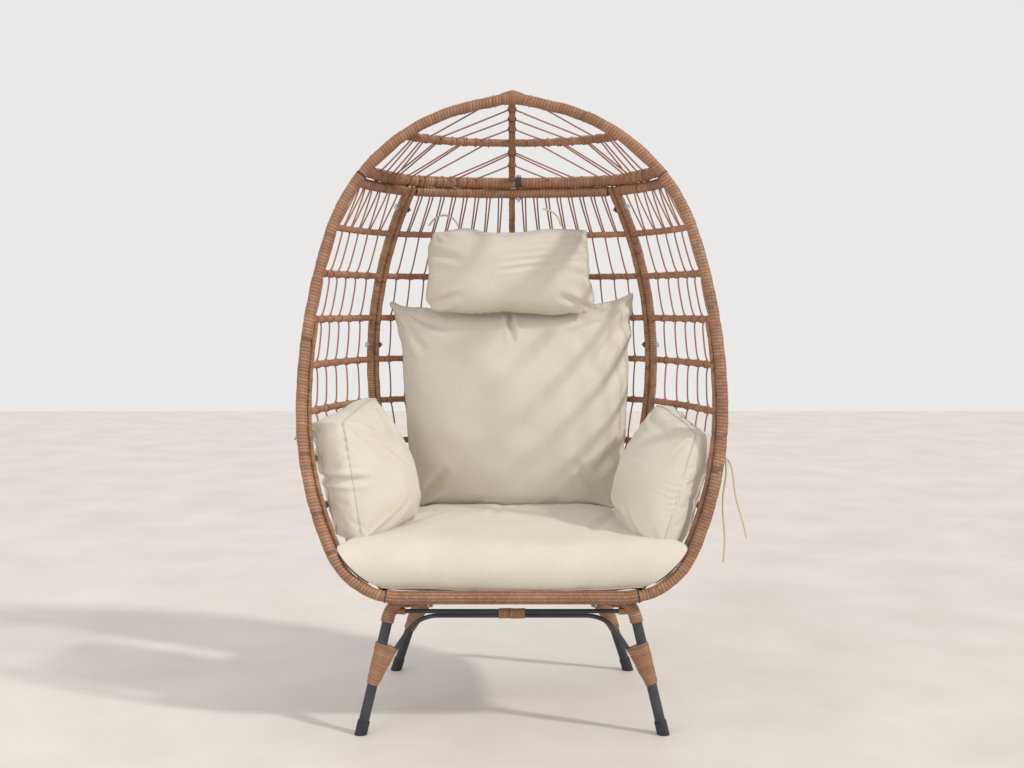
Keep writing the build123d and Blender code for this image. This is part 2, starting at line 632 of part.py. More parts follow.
# ---- assembly --------------------------------------------------------------------------
def build():
    """Every node of the chair by name."""
    nodes = {}
    rim = side_rim()
    top_rim, tip, peak, shoulder = crown_rim()
    beam = front_beam()
    upper_plates, lower_plates = joint_plates()
    rims = group([rim, mirrored(rim), top_rim])

    ring, bars, straps, ring_half = seat(beam, [rims, beam])
    side_post, inner, top_beam, rails, strands = side_panel(rim, ring_half)
    left_post, right_post, back_beam, back_rails, rib, back_strands, fractions, last = back_panel()
    crown_ring, crown_rib, crown_rail, ring_line, rib_arc, rail_arc = crown(top_rim, tip, peak)

    back = ring_half[2]
    for fraction in fractions:
        reach = abs(2 * fraction - 1)
        foot = back @ (1 - reach)
        foot = Vector(foot.X * (1 if fraction > 0.5 else -1), foot.Y, foot.Z)
        back_strands.append(span(last @ fraction, foot, (last % fraction, RAIL_R),
                                 (Vector(1, 0, 0), SEAT_TUBE_R), STRAND_R))
    rib = cut(rib, ring)

    pairs = post_bolts()
    for _, _, hole in pairs:
        side_post, right_post = cut(side_post, hole), cut(right_post, hole)
    clip, (clip_screw, clip_nut, hole) = crown_clip(crown_ring, ring_line)
    crown_ring, back_beam = cut(crown_ring, clip_screw, hole), cut(back_beam, clip_screw, clip_nut, hole)
    base_bolts = stand_bolts()
    base_holes = group(both_sides(base_bolts))

    for side, flip in (("right", lambda s: s), ("left", mirrored)):
        nodes[side + "_rim"] = flip(rim)
        nodes[side + "_inner_rim"] = flip(inner)
        nodes[side + "_side_post"] = flip(side_post)
        nodes[side + "_top_beam"] = flip(top_beam)
        nodes[side + "_rails"] = flip(rails)
        nodes[side + "_strands"] = flip(strands)
        nodes[side + "_back_post"] = flip(right_post)
    nodes["back_top_beam"] = back_beam
    nodes["back_rails"] = back_rails
    nodes["back_rib"] = rib
    nodes["back_strands"] = group(back_strands)
    nodes["crown_rim"] = top_rim
    nodes["crown_tip"] = tip
    nodes["crown_ring_beam"] = crown_ring
    nodes["crown_rib"] = crown_rib
    nodes["crown_rail"] = crown_rail
    fans = crown_strands(top_rim, crown_ring, rib_arc, rail_arc, ring_line, peak, shoulder)
    nodes["crown_strands"] = group(fans)
    nodes["front_beam"] = beam
    nodes["upper_joint_plates"] = upper_plates
    nodes["lower_joint_plates"] = lower_plates
    nodes["seat_ring"] = cut(ring, base_holes)
    nodes["seat_bars"] = group([cut(b, base_holes) for b in bars])
    nodes["seat_straps"] = group(straps)
    nodes["crown_clip"] = cut(clip, clip_screw, hole)
    nodes["panel_bolts"] = group(both_sides([screw for screw, _, _ in pairs]) + [clip_screw])
    nodes["panel_nuts"] = group(both_sides([nut for _, nut, _ in pairs]) + [clip_nut])
    nodes["stand_bolts"] = base_holes

    for name, frame in (("front", FRONT), ("rear", REAR)):
        legs = leg_frame(frame)
        straight = stretcher(frame, legs)
        brace = cut(tube(brace_path(frame), ROD_R), legs)
        brace = Compound(children=[max(brace.solids(), key=lambda s: s.volume)])
        nodes[name + "_leg_frame"] = cut(legs, base_holes)
        nodes[name + "_stretcher"] = straight
        nodes[name + "_arch_brace"] = brace
        sleeve = cut(corner_wrap(frame, legs, straight, brace), ring, base_holes)
        nodes[name + "_corner_wraps"] = group(both_sides([sleeve]))
        nodes[name + "_knee_wraps"] = group(both_sides([knee_wrap(frame, legs, brace)]))
        nodes[name + "_centre_wrap"] = centre_wrap(frame, straight, brace)
        cap = foot_cap(frame, legs)
        nodes[name + "_right_foot_cap"] = cap
        nodes[name + "_left_foot_cap"] = mirrored(cap)

    nodes["seat_cushion"] = seat_cushion()
    nodes["back_cushion"] = pillow((536, 510, 150), 52, Pos(0, 150, 706) * Rot(-7, 0, 0), 610)
    nodes["head_pillow"] = pillow((419, 204, 110), 38, Pos(-6, 138, 1072) * Rot(-6, 0, 0))
    side_place = Pos(338, -85, 606) * Rot(0, 14, 0) * Rot(0, 0, 103)
    nodes["right_pillow"] = pillow((316, 312, 126), 44, side_place)
    nodes["left_pillow"] = mirrored(nodes["right_pillow"])
    for name, route in TIES.items():
        nodes[name] = tie(route, TIE_R)
    return nodes


os.makedirs("parts", exist_ok=True)
for node, shape in build().items():
    export_step(shape, f"parts/{node}.step")
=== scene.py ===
from math import asin, atan2, cos, degrees, pi, radians, sin, sqrt, tan

import bpy
import numpy as np
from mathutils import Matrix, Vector


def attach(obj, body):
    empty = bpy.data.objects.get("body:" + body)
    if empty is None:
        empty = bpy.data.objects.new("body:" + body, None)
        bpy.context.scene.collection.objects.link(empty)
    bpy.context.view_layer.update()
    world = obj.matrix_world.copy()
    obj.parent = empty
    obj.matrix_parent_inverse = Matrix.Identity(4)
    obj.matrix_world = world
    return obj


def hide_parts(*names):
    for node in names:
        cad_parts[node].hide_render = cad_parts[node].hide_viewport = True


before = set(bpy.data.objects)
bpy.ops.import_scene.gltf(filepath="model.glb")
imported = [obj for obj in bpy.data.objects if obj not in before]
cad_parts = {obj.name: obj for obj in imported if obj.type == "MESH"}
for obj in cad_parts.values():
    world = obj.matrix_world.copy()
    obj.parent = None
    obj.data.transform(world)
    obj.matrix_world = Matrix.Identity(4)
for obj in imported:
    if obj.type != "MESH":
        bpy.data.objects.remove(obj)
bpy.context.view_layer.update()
rng = np.random.default_rng(7)

# ---- sizes in metres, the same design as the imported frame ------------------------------
LEAN = radians(9.4)  # of the egg's front rim
BEAM_Y, BEAM_Z = -0.324, 0.323
EGG_BASE_Z = 0.307
EGG_HEIGHT, EGG_WIDEST, EGG_HALF_WIDTH = 1.181, 0.449, 0.4965
TOP_R, LOWER_R, CORNER_R = 0.455, 0.810, 0.192
UPPER_JOINT, LOWER_JOINT, PEAK_FROM = 37.2, -78.0, 77.0  # degrees round the outline's arcs
RIM_R, BEAM_R, INNER_RIM_R = 0.013, 0.0155, 0.007
INNER_RIM_INSET, INNER_RIM_BACK = 0.027, (0.030, 0.015)
INNER_RIM_SPAN = (-62.0, 8.2, 0.950)  # first and last angle, and the height where it closes
JOINT_GAP = 0.0015
RAIL_R, RAIL_TOP_Z, RAIL_PITCH, RAIL_COUNT = 0.008, 1.166, 0.1083, 8
POST_R, POST_SEAM = 0.009, 0.0006
POST_ARC = np.array([(0.236, 0.149, 0.333), (0.362, 0.188, 0.760), (0.255, 0.122, 1.287)])
BACK_ARC = np.array([(0, 0.207, 0.333), (0, 0.331, 0.760), (0, 0.194, 1.287)])
TOP_BEAM_R, TOP_BEAM_Z, POST_TOP_Z = 0.0128, 1.274, 1.286
RIB_R = 0.0075
RING_BEAM_R, RING_BEAM_Z = 0.0140, 1.300
CROWN_RAIL_R, CROWN_RAIL_Z, CROWN_RIB_R = 0.0095, 1.382, 0.0085
CROWN_RIB_MID = np.array((0, 0.050, 1.386))
SEAT_Z, SEAT_TUBE_R = 0.323, 0.010
SIDE_STRANDS, BACK_STRANDS, STRAND_R = 6, 8, 0.0019
STRAND_SPLAY, BACK_SPLAY, PAIR_FOOT = 0.42, 0.16, 0.0023  # how a top bay's pairs spread
LEG_R, LEG_BEND_R, CROSSBAR_Z = 0.012, 0.042, 0.301
STRETCHER_Z, BRACE_Z, ROD_R = 0.2805, 0.2703, 0.005
WRAP = 0.0034
KNEE_Z = (0.115, 0.203)
FRONT = (0.347, -0.301, 0.276, -0.276, 0.130, -0.212)  # foot, corner and bow of a leg frame
REAR = (0.313, 0.240, 0.213, 0.213, 0.100, 0.150)

RISE = EGG_HEIGHT - TOP_R - EGG_WIDEST
SIDE_R = (EGG_HALF_WIDTH**2 + RISE**2 - TOP_R**2) / (2 * (EGG_HALF_WIDTH - TOP_R))
CORNER_X = EGG_HALF_WIDTH - LOWER_R + sqrt((LOWER_R - CORNER_R) ** 2 - (EGG_WIDEST - CORNER_R) ** 2)
CORNER_END = degrees(atan2(CORNER_R - EGG_WIDEST, CORNER_X - EGG_HALF_WIDTH + LOWER_R))
SIDE_END = degrees(atan2(RISE, SIDE_R - EGG_HALF_WIDTH))
EGG_ARCS = (
    (CORNER_X, CORNER_R, CORNER_R, -90.0, CORNER_END),
    (EGG_HALF_WIDTH - LOWER_R, EGG_WIDEST, LOWER_R, CORNER_END, 0.0),
    (EGG_HALF_WIDTH - SIDE_R, EGG_WIDEST, SIDE_R, 0.0, SIDE_END),
    (0.0, EGG_HEIGHT - TOP_R, TOP_R, SIDE_END, 90.0),
)
RAIL_HEIGHTS = [RAIL_TOP_Z - RAIL_PITCH * i for i in range(RAIL_COUNT)]
MIRROR = np.array((-1.0, 1.0, 1.0))
RIM_TURN, BEAM_TURN, RAIL_TURN, RIB_TURN = 0.0078, 0.0085, 0.0052, 0.0056  # one turn of winding


# ---- lines -----------------------------------------------------------------------------
def unit(v):
    """A vector of length 1."""
    return v / np.linalg.norm(v)


def arc3(a, b, c, count=60):
    """Evenly spaced points on the circle arc from a through b to c."""
    a, b, c = (np.asarray(p, float) for p in (a, b, c))
    u, v = b - a, c - a
    normal = np.cross(u, v)
    centre = a + (np.dot(v, v) * np.cross(normal, u) + np.dot(u, u) * np.cross(v, normal)) / (
        2 * np.dot(normal, normal)
    )
    x = unit(a - centre)
    y = np.cross(unit(normal), x)
    end = atan2(np.dot(c - centre, y), np.dot(c - centre, x)) % (2 * pi)
    turn = np.linspace(0, end, count)[:, None]
    return centre + np.linalg.norm(a - centre) * (np.cos(turn) * x + np.sin(turn) * y)


def joined(*lines):
    """Several lines as one, without the doubled points between them."""
    out = [lines[0]]
    for line in lines[1:]:
        out.append(line[1:] if np.linalg.norm(line[0] - out[-1][-1]) < 1e-5 else line)
    return np.vstack(out)


def lengths(line):
    """Distance along a line at each of its points."""
    return np.concatenate([[0], np.cumsum(np.linalg.norm(np.diff(line, axis=0), axis=1))])


def resampled(line, step):
    """The same line with evenly spaced points."""
    along = lengths(line)
    count = max(int(round(along[-1] / step)), 2)
    at = np.linspace(0, along[-1], count + 1)
    return np.stack([np.interp(at, along, line[:, k]) for k in range(3)], axis=1)


def point_at(line, fraction):
    """The point at a fraction of a line's length."""
    along = lengths(line)
    return np.array([np.interp(fraction * along[-1], along, line[:, k]) for k in range(3)])


def at_height(line, z):
    """The point of a rising line at height z."""
    order = np.argsort(line[:, 2])
    return np.array([np.interp(z, line[order, 2], line[order, k]) for k in range(3)])


def rounded(points, radii):
    """A polyline whose inner corners are arcs of the given radii."""
    points = [np.asarray(p, float) for p in points]
    pieces = [points[0][None]]
    for before, corner, after, radius in zip(points, points[1:], points[2:], radii):
        way_in, way_out = unit(corner - before), unit(after - corner)
        turn = np.arccos(np.clip(np.dot(way_in, way_out), -1, 1))
        reach = radius * tan(turn / 2)
        middle = corner + unit(way_out - way_in) * (radius / cos(turn / 2) - radius)
        pieces.append(arc3(corner - way_in * reach, middle, corner + way_out * reach, 24))
    pieces.append(points[-1][None])
    return np.vstack(pieces)


def rim_y(z):
    """Depth of the rim's leaning plane at height z."""
    return BEAM_Y + (z - BEAM_Z) * tan(LEAN)


def egg_line(arc, inset, start, end):
    """Part of one outline arc, moved in by inset."""
    x, height, radius = arc[:3]
    turn = np.radians(np.linspace(start, end, 80))
    up = height + (radius - inset) * np.sin(turn)
    z = EGG_BASE_Z + up * cos(LEAN)
    return np.stack([x + (radius - inset) * np.cos(turn), rim_y(EGG_BASE_Z) + up * sin(LEAN), z], axis=1)


def egg_point(z, inset=RIM_R):
    """The point of the right half of the outline at height z."""
    height = (z - EGG_BASE_Z) / cos(LEAN)
    for x, centre, radius, first, last in EGG_ARCS:
        radius -= inset
        if height <= centre + radius * sin(radians(last)):
            break
    turn = asin((height - centre) / radius)
    return np.array((x + radius * cos(turn), rim_y(z), z))


POST_LINE = arc3(*POST_ARC, 200)
BACK_LINE = arc3(*BACK_ARC, 200)
PAIR = unit(np.array((-0.69, 0.72, 0)))
PAIR_HALF = POST_R + POST_SEAM / 2


def side_line(z, sag=0.020):
    """Level line of the right wall, from rim to side post."""
    front = egg_point(z)
    back = at_height(POST_LINE, z) - PAIR * PAIR_HALF
    chord = unit(back - front)
    return arc3(front, (front + back) / 2 + np.array((chord[1], -chord[0], 0)) * sag, back)


def back_line(z):
    """Level line of the back wall, from left to right."""
    right = at_height(POST_LINE, z) + PAIR * PAIR_HALF
    return arc3(right * MIRROR, at_height(BACK_LINE, z), right)


def trimmed(line, start, end):
    """A line shortened by a distance at each end."""
    along = lengths(line)
    at = np.linspace(start, along[-1] - end, len(line))
    return np.stack([np.interp(at, along, line[:, k]) for k in range(3)], axis=1)


# ---- meshes ----------------------------------------------------------------------------
def frames_along(line, first_side=None):
    """Unit side and up vectors that follow a line without twisting."""
    ways = np.gradient(line, axis=0)
    ways /= np.linalg.norm(ways, axis=1)[:, None]
    side = np.cross(ways[0], (0, 0, 1)) if first_side is None else np.asarray(first_side, float)
    if np.linalg.norm(side) < 1e-3:
        side = np.array((1.0, 0, 0))
    sides = []
    for way in ways:
        side = unit(side - way * np.dot(side, way))
        sides.append(side)
    sides = np.array(sides)
    return sides, np.cross(ways, sides)


class Pile:
    """Collects tubes into one mesh, with a tone and a groove depth at each point; the groove depth also paints shade
    into the rattan colour.
    """

    def __init__(self):
        self.points, self.faces, self.tones, self.grooves, self.count = [], [], [], [], 0

    def add(self, rings, tone, groove):
        """A tube of rings, an array of ring by side by 3, closed by a flat face at each end."""
        n, sides = rings.shape[:2]
        first = self.count
        self.points.append(rings.reshape(-1, 3))
        self.tones.append(tone.reshape(-1))
        self.grooves.append(groove.reshape(-1))
        index = first + np.arange(n * sides).reshape(n, sides)
        a, b = index[:-1], index[1:]
        quads = np.stack([a, np.roll(a, -1, 1), np.roll(b, -1, 1), b], axis=-1).reshape(-1, 4)
        self.faces.extend(quads.tolist())
        self.count += n * sides
        self.faces.append(index[0][::-1].tolist())
        self.faces.append(index[-1].tolist())

    def mesh(self, name, material, slot, nodes):
        """The collected tubes as a piece that stands for CAD nodes."""
        mesh = bpy.data.meshes.new(name)
        mesh.from_pydata(np.vstack(self.points).tolist(), [], self.faces)
        for attribute, values in (("tone", self.tones), ("groove", self.grooves)):
            data = mesh.attributes.new(attribute, "FLOAT", "POINT").data
            data.foreach_set("value", np.concatenate(values).astype(np.float32))
        return finish_piece(mesh, name, material, nodes)


def finish_piece(mesh, name, material, nodes):
    """Smooth mesh as an object with its material, body and CAD nodes."""
    mesh.validate()
    mesh.shade_smooth()
    mesh.materials.append(material)
    piece = bpy.data.objects.new(name, mesh)
    bpy.context.scene.collection.objects.link(piece)
    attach(piece, "root")
    if nodes:
        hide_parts(*nodes)
    return piece


def rings_round(line, side, up, wide, deep, turn):
    """Rings round a line, with their half sizes along side and up."""
    return (line[:, None] + side[:, None] * (wide * np.cos(turn))[..., None]
            + up[:, None] * (deep * np.sin(turn))[..., None])


def wind(pile, line, radius, pitch, sides=18, depth=0.0011, per_band=6, flat=None, side_way=None):
    """A tube wound with flat bands: radius may vary along the line, and flat squashes its depth."""
    line = resampled(line, pitch / per_band)
    side, up = frames_along(line, side_way)
    along = lengths(line)[:, None]
    turn = np.linspace(0, 2 * pi, sides, endpoint=False)[None, :]
    wound = along / pitch + turn / (2 * pi)
    band = np.floor(wound).astype(int)
    across = np.abs(2 * (wound - band) - 1)
    seeds = rng.random(band.max() + 2)
    # a few whole bands are picked to sink as gaps; the groove mask below paints shade into them
    dark = rng.random(band.max() + 2) < 0.035
    heights = rng.normal(0, depth * 0.22, band.max() + 2)
    # groove mask: sinks the surface and, through the rattan material, paints shade into the grooves
    groove = np.maximum(across**5, 0.55 * dark[band])
    sway = 0.35 * depth * np.sin(turn * 3 + along / pitch * 0.7)
    wide = radius(along / along[-1]) if callable(radius) else radius
    wide = wide - depth * groove + heights[band] * (1 - groove) + sway
    deep = wide if flat is None else wide * flat(along / along[-1])
    rings = rings_round(line, side, up, wide, deep, turn)
    pile.add(rings, 0.25 + 0.75 * seeds[band] + 0 * turn, groove + 0 * turn)


def weave(pile, line, radius, band=0.0081, tick=0.0068, depth=0.0011):
    """A bar covered with bands laid along it, each crossed by short stitches like bricks."""
    count = int(round(2 * pi * radius / band))
    sides = count * 6
    line = resampled(line, tick / 6)
    side, up = frames_along(line)
    along = lengths(line)[:, None]
    turn = np.linspace(0, 2 * pi, sides, endpoint=False)[None, :]
    row = turn / (2 * pi) * count
    row_index = np.floor(row).astype(int)
    stitch = along / tick + 0.5 * (row_index % 2)
    stitch_index = np.floor(stitch).astype(int)
    seam = np.abs(2 * (row - row_index) - 1) ** 6
    cross = np.abs(2 * (stitch - stitch_index) - 1) ** 9
    # groove mask: sinks the seams and stitch ends and, through the rattan material, paints shade into them
    groove = np.maximum(seam, 0.8 * cross)
    seeds = rng.random((stitch_index.max() + 2, count + 1))
    tone = 0.3 + 0.7 * seeds[stitch_index, row_index + 0 * stitch_index]
    wide = radius - depth * groove
    pile.add(rings_round(line, side, up, wide, wide, turn), tone, groove)


def cordlet(pile, line, radius, sides=8, tone=0.5, step=0.004):
    """A thin round strand along a line."""
    line = resampled(line, step)
    side, up = frames_along(line)
    turn = np.linspace(0, 2 * pi, sides, endpoint=False)[None, :]
    rings = line[:, None] + radius * (side[:, None] * np.cos(turn)[..., None] + up[:, None] * np.sin(turn)[..., None])
    pile.add(rings, np.full(rings.shape[:2], tone), np.zeros(rings.shape[:2]))


def smooth_through(points, step=0.003):
    """A smooth line through points, by Catmull-Rom."""
    points = np.asarray(points, float)
    padded = np.vstack([2 * points[0] - points[1], points, 2 * points[-1] - points[-2]])
    t = np.linspace(0, 1, 9)[:-1, None]
    out = []
    for a, b, c, d in zip(padded, padded[1:], padded[2:], padded[3:]):
        out.append(0.5 * (2 * b + (c - a) * t + (2 * a - 5 * b + 4 * c - d) * t**2 + (3 * b - a - 3 * c + d) * t**3))
    return resampled(np.vstack(out + [points[-1:]]), step)


# ---- materials -------------------------------------------------------------------------
def new_material(name):
    """A material with a shader, and a function that adds linked nodes to it."""
    material = bpy.data.materials.new(name)
    material.use_nodes = True
    tree = material.node_tree
    shader = tree.nodes["Principled BSDF"]

    def node(kind, inputs=(), **settings):
        made = tree.nodes.new(kind)
        for key, value in settings.items():
            setattr(made, key, value)
        for socket, value in dict(inputs).items():
            if isinstance(value, bpy.types.NodeSocket):
                tree.links.new(value, made.inputs[socket])
            else:
                made.inputs[socket].default_value = value
        return made

    return material, shader, node, tree.links


def ramp(node, fac, stops):
    """A colour ramp with the given stops."""
    made = node("ShaderNodeValToRGB", {"Fac": fac})
    elements = made.color_ramp.elements
    while len(elements) < len(stops):
        elements.new(0.5)
    for element, (position, colour) in zip(elements, stops):
        element.position = position
        element.color = (*colour, 1)
    return made.outputs["Color"]


def place(node):
    """The piece's own coordinates."""
    return node("ShaderNodeTexCoord").outputs["Object"]


def rattan(name, dark, middle, light, roughness, groove_shade=0.20):
    """Wound synthetic rattan: a tone for each band, fine streaks, painted shade in the grooves and a waxy shine."""
    material, shader, node, link = new_material(name)
    where = place(node)
    tone = node("ShaderNodeAttribute", attribute_name="tone").outputs["Fac"]
    groove = node("ShaderNodeAttribute", attribute_name="groove").outputs["Fac"]
    patch = node("ShaderNodeTexNoise", {"Vector": where, "Scale": 9.0, "Detail": 3.0}).outputs["Fac"]
    streak = node("ShaderNodeTexNoise", {"Vector": where, "Scale": 420.0, "Detail": 4.0}).outputs["Fac"]
    band = node("ShaderNodeMath", {0: tone, 1: 0.22, 2: 0.06}, operation="MULTIPLY_ADD")
    mixed = node("ShaderNodeMath", {0: patch, 1: 0.45, 2: band.outputs[0]}, operation="MULTIPLY_ADD")
    fine = node("ShaderNodeMath", {0: streak, 1: 0.38, 2: mixed.outputs[0]}, operation="MULTIPLY_ADD")
    base = ramp(node, fine.outputs[0], [(0.25, dark), (0.62, middle), (0.98, light)])
    # painted shade: the groove mask darkens the colour where shade falls in the grooves and gaps between bands
    shade = node("ShaderNodeMath", {0: groove, 1: -(1 - groove_shade), 2: 1.0}, operation="MULTIPLY_ADD")
    grey = node("ShaderNodeCombineColor", {i: shade.outputs[0] for i in range(3)}).outputs[0]
    colour = node("ShaderNodeMix", {"Factor": 1.0, 6: base, 7: grey}, data_type="RGBA", blend_type="MULTIPLY")
    link.new(colour.outputs[2], shader.inputs["Base Color"])
    rough = node("ShaderNodeMapRange", {"Value": streak, "To Min": roughness - 0.08, "To Max": roughness + 0.12})
    link.new(rough.outputs[0], shader.inputs["Roughness"])
    bump = node("ShaderNodeBump", {"Height": streak, "Strength": 0.35, "Distance": 0.0006})
    link.new(bump.outputs[0], shader.inputs["Normal"])
    shader.inputs["Coat Weight"].default_value = 0.06
    shader.inputs["Coat Roughness"].default_value = 0.35
    return material


def powder_coat():
    """Black powder-coated steel with a fine orange peel and a little dust."""
    material, shader, node, link = new_material("black_powder_coat")
    where = place(node)
    peel = node("ShaderNodeTexNoise", {"Vector": where, "Scale": 900.0, "Detail": 2.0}).outputs["Fac"]
    dust = node("ShaderNodeTexNoise", {"Vector": where, "Scale": 14.0, "Detail": 5.0}).outputs["Fac"]
    colour = ramp(node, dust, [(0.35, (0.017, 0.019, 0.028)), (0.75, (0.045, 0.048, 0.062))])
    link.new(colour, shader.inputs["Base Color"])
    rough = node("ShaderNodeMapRange", {"Value": dust, "To Min": 0.30, "To Max": 0.50})
    link.new(rough.outputs[0], shader.inputs["Roughness"])
    bump = node("ShaderNodeBump", {"Height": peel, "Strength": 0.25, "Distance": 0.0002})
    link.new(bump.outputs[0], shader.inputs["Normal"])
    return material


def zinc():
    """Zinc-plated fasteners, brushed and a little cloudy."""
    material, shader, node, link = new_material("zinc_plate")
    cloud = node("ShaderNodeTexNoise", {"Vector": place(node), "Scale": 160.0, "Detail": 4.0}).outputs["Fac"]
    link.new(ramp(node, cloud, [(0.3, (0.42, 0.42, 0.43)), (0.8, (0.66, 0.66, 0.64))]), shader.inputs["Base Color"])
    rough = node("ShaderNodeMapRange", {"Value": cloud, "To Min": 0.22, "To Max": 0.45})
    link.new(rough.outputs[0], shader.inputs["Roughness"])
    shader.inputs["Metallic"].default_value = 1.0
    return material


def rubber():
    """Black rubber of the foot caps, scuffed grey here and there."""
    material, shader, node, link = new_material("foot_rubber")
    scuff = node("ShaderNodeTexNoise", {"Vector": place(node), "Scale": 60.0, "Detail": 6.0}).outputs["Fac"]
    colour = ramp(node, scuff, [(0.4, (0.012, 0.013, 0.018)), (0.85, (0.03, 0.031, 0.038))])
    link.new(colour, shader.inputs["Base Color"])
    rough = node("ShaderNodeMapRange", {"Value": scuff, "To Min": 0.42, "To Max": 0.62})
    link.new(rough.outputs[0], shader.inputs["Roughness"])
    return material


def cloth(name, shadow, lit, weave_scale, weave_strength, sheen=0.25):
    """Plain-weave fabric: crossed threads with slubs over a softly mottled colour."""
    material, shader, node, link = new_material(name)
    where = place(node)
    mottle = node("ShaderNodeTexNoise", {"Vector": where, "Scale": 7.0, "Detail": 4.0}).outputs["Fac"]
    slub = node("ShaderNodeTexNoise", {"Vector": where, "Scale": 380.0, "Detail": 3.0}).outputs["Fac"]
    waves = []
    for direction in ("X", "Y", "Z"):
        waves.append(node("ShaderNodeTexWave", {"Vector": where, "Scale": weave_scale, "Distortion": 1.6,
                                                "Detail": 1.0, "Detail Scale": 3.0},
                          bands_direction=direction).outputs["Fac"])
    pair = node("ShaderNodeMath", {0: waves[0], 1: waves[2]}, operation="ADD")
    threads = node("ShaderNodeMath", {0: pair.outputs[0], 1: waves[1]}, operation="ADD")
    height = node("ShaderNodeMath", {0: slub, 1: 1.4, 2: threads.outputs[0]}, operation="MULTIPLY_ADD")
    both = node("ShaderNodeMath", {0: mottle, 1: slub}, operation="ADD")
    half = node("ShaderNodeMath", {0: both.outputs[0], 1: 0.5}, operation="MULTIPLY")
    link.new(ramp(node, half.outputs[0], [(0.3, shadow), (0.7, lit)]), shader.inputs["Base Color"])
    bump = node("ShaderNodeBump", {"Height": height.outputs[0], "Strength": weave_strength, "Distance": 0.0004})
    link.new(bump.outputs[0], shader.inputs["Normal"])
    shader.inputs["Roughness"].default_value = 0.9
    shader.inputs["Sheen Weight"].default_value = sheen
    shader.inputs["Sheen Roughness"].default_value = 0.5
    shader.inputs["Specular IOR Level"].default_value = 0.25
    return material


WRAP_MAT = rattan("wound_rattan", (0.115, 0.048, 0.022), (0.315, 0.152, 0.078), (0.52, 0.295, 0.170), 0.50)
RAIL_MAT = rattan("wound_rattan_dark", (0.12, 0.048, 0.024), (0.37, 0.170, 0.092), (0.62, 0.350, 0.205), 0.52)
STRAND_MAT = rattan("rattan_strand", (0.20, 0.080, 0.050), (0.33, 0.140, 0.092), (0.45, 0.215, 0.145), 0.45)
STEEL_MAT = powder_coat()
ZINC_MAT = zinc()
RUBBER_MAT = rubber()
COVER_MAT = cloth("cushion_cloth", (0.565, 0.518, 0.432), (0.68, 0.635, 0.55), 480.0, 0.22)
SEAM_MAT = cloth("seam_thread", (0.47, 0.42, 0.325), (0.59, 0.54, 0.44), 900.0, 0.3)
TIE_MAT = cloth("tie_tape", (0.55, 0.46, 0.29), (0.72, 0.64, 0.47), 1400.0, 0.35)
STRAP_MAT = cloth("strap_webbing", (0.02, 0.018, 0.016), (0.05, 0.045, 0.04), 500.0, 0.5)


# ---- camera ----------------------------------------------------------------------------
CAMERA_DOWN = 3.4  # degrees below level
camera_data = bpy.data.cameras.new("camera")
camera_data.sensor_width, camera_data.lens = 36.0, 46.8
camera = bpy.data.objects.new("camera", camera_data)
camera.location = (0.0, -3.301, 0.983)
camera.rotation_euler = (radians(90 - CAMERA_DOWN), 0, 0)
bpy.context.scene.collection.objects.link(camera)
bpy.context.scene.camera = camera

# ---- ties ------------------------------------------------------------------------------
TIE_WIDTH = 0.005
TIES = {
    "right_tie_long": [(0.490, -0.267, 0.630), (0.493, -0.264, 0.604), (0.489, -0.262, 0.572),
                       (0.484, -0.263, 0.538), (0.485, -0.265, 0.503), (0.489, -0.264, 0.466),
                       (0.490, -0.266, 0.428), (0.487, -0.265, 0.391)],
    "right_tie_short": [(0.489, -0.256, 0.634), (0.501, -0.254, 0.624), (0.508, -0.255, 0.602),
                        (0.511, -0.257, 0.570), (0.516, -0.258, 0.538), (0.525, -0.256, 0.507),
                        (0.535, -0.257, 0.477), (0.541, -0.259, 0.446)],
    "left_tie": [(-0.449, -0.213, 0.690), (-0.466, -0.213, 0.696), (-0.484, -0.212, 0.696),
                 (-0.499, -0.213, 0.686), (-0.506, -0.214, 0.669)],
    "head_tie_left": [(-0.138, 0.146, 1.186), (-0.147, 0.150, 1.202), (-0.163, 0.157, 1.213),
                      (-0.184, 0.164, 1.215), (-0.203, 0.170, 1.206), (-0.216, 0.174, 1.188)],
    "head_tie_right": [(0.126, 0.146, 1.186), (0.122, 0.150, 1.203), (0.111, 0.156, 1.218),
                       (0.096, 0.162, 1.228), (0.080, 0.167, 1.231)],
}
for name, route in TIES.items():
    curve = bpy.data.curves.new(name + "_tape", "CURVE")
    curve.dimensions = "3D"
    spline = curve.splines.new("NURBS")
    spline.points.add(len(route) - 1)
    for spot, at in zip(spline.points, route):
        spot.co = (*at, 1)
    spline.order_u = 3
    spline.use_endpoint_u = True
    curve.resolution_u = 8
    curve.bevel_depth = TIE_WIDTH / 2
    curve.bevel_resolution = 2
    curve.use_fill_caps = True
    curve.materials.append(TIE_MAT)
    tape = bpy.data.objects.new(name + "_tape", curve)
    bpy.context.scene.collection.objects.link(tape)
    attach(tape, "root")
    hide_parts(name)

# ---- rattan-wound tubes ----------------------------------------------------------------
def both_sides(make, name, material, *nodes):
    """A right-hand piece and its left-hand twin: make fills a pile for a mirror factor."""
    for side, factor in (("right", np.ones(3)), ("left", MIRROR)):
        pile = Pile()
        make(pile, factor)
        pile.mesh(f"{side}_{name}", material, "wrap_rattan", [f"{side}_{n}" for n in nodes])


def wound(name, material, line, *args, **how):
    """One wound tube that stands for the CAD node of the same name."""
    pile = Pile()
    wind(pile, line, *args, **how)
    pile.mesh(name + "_wrap", material, "wrap_rattan", [name])


def gap_angle(radius):
    """Half a joint's gap as an angle on an arc of that radius."""
    return degrees(JOINT_GAP / radius)


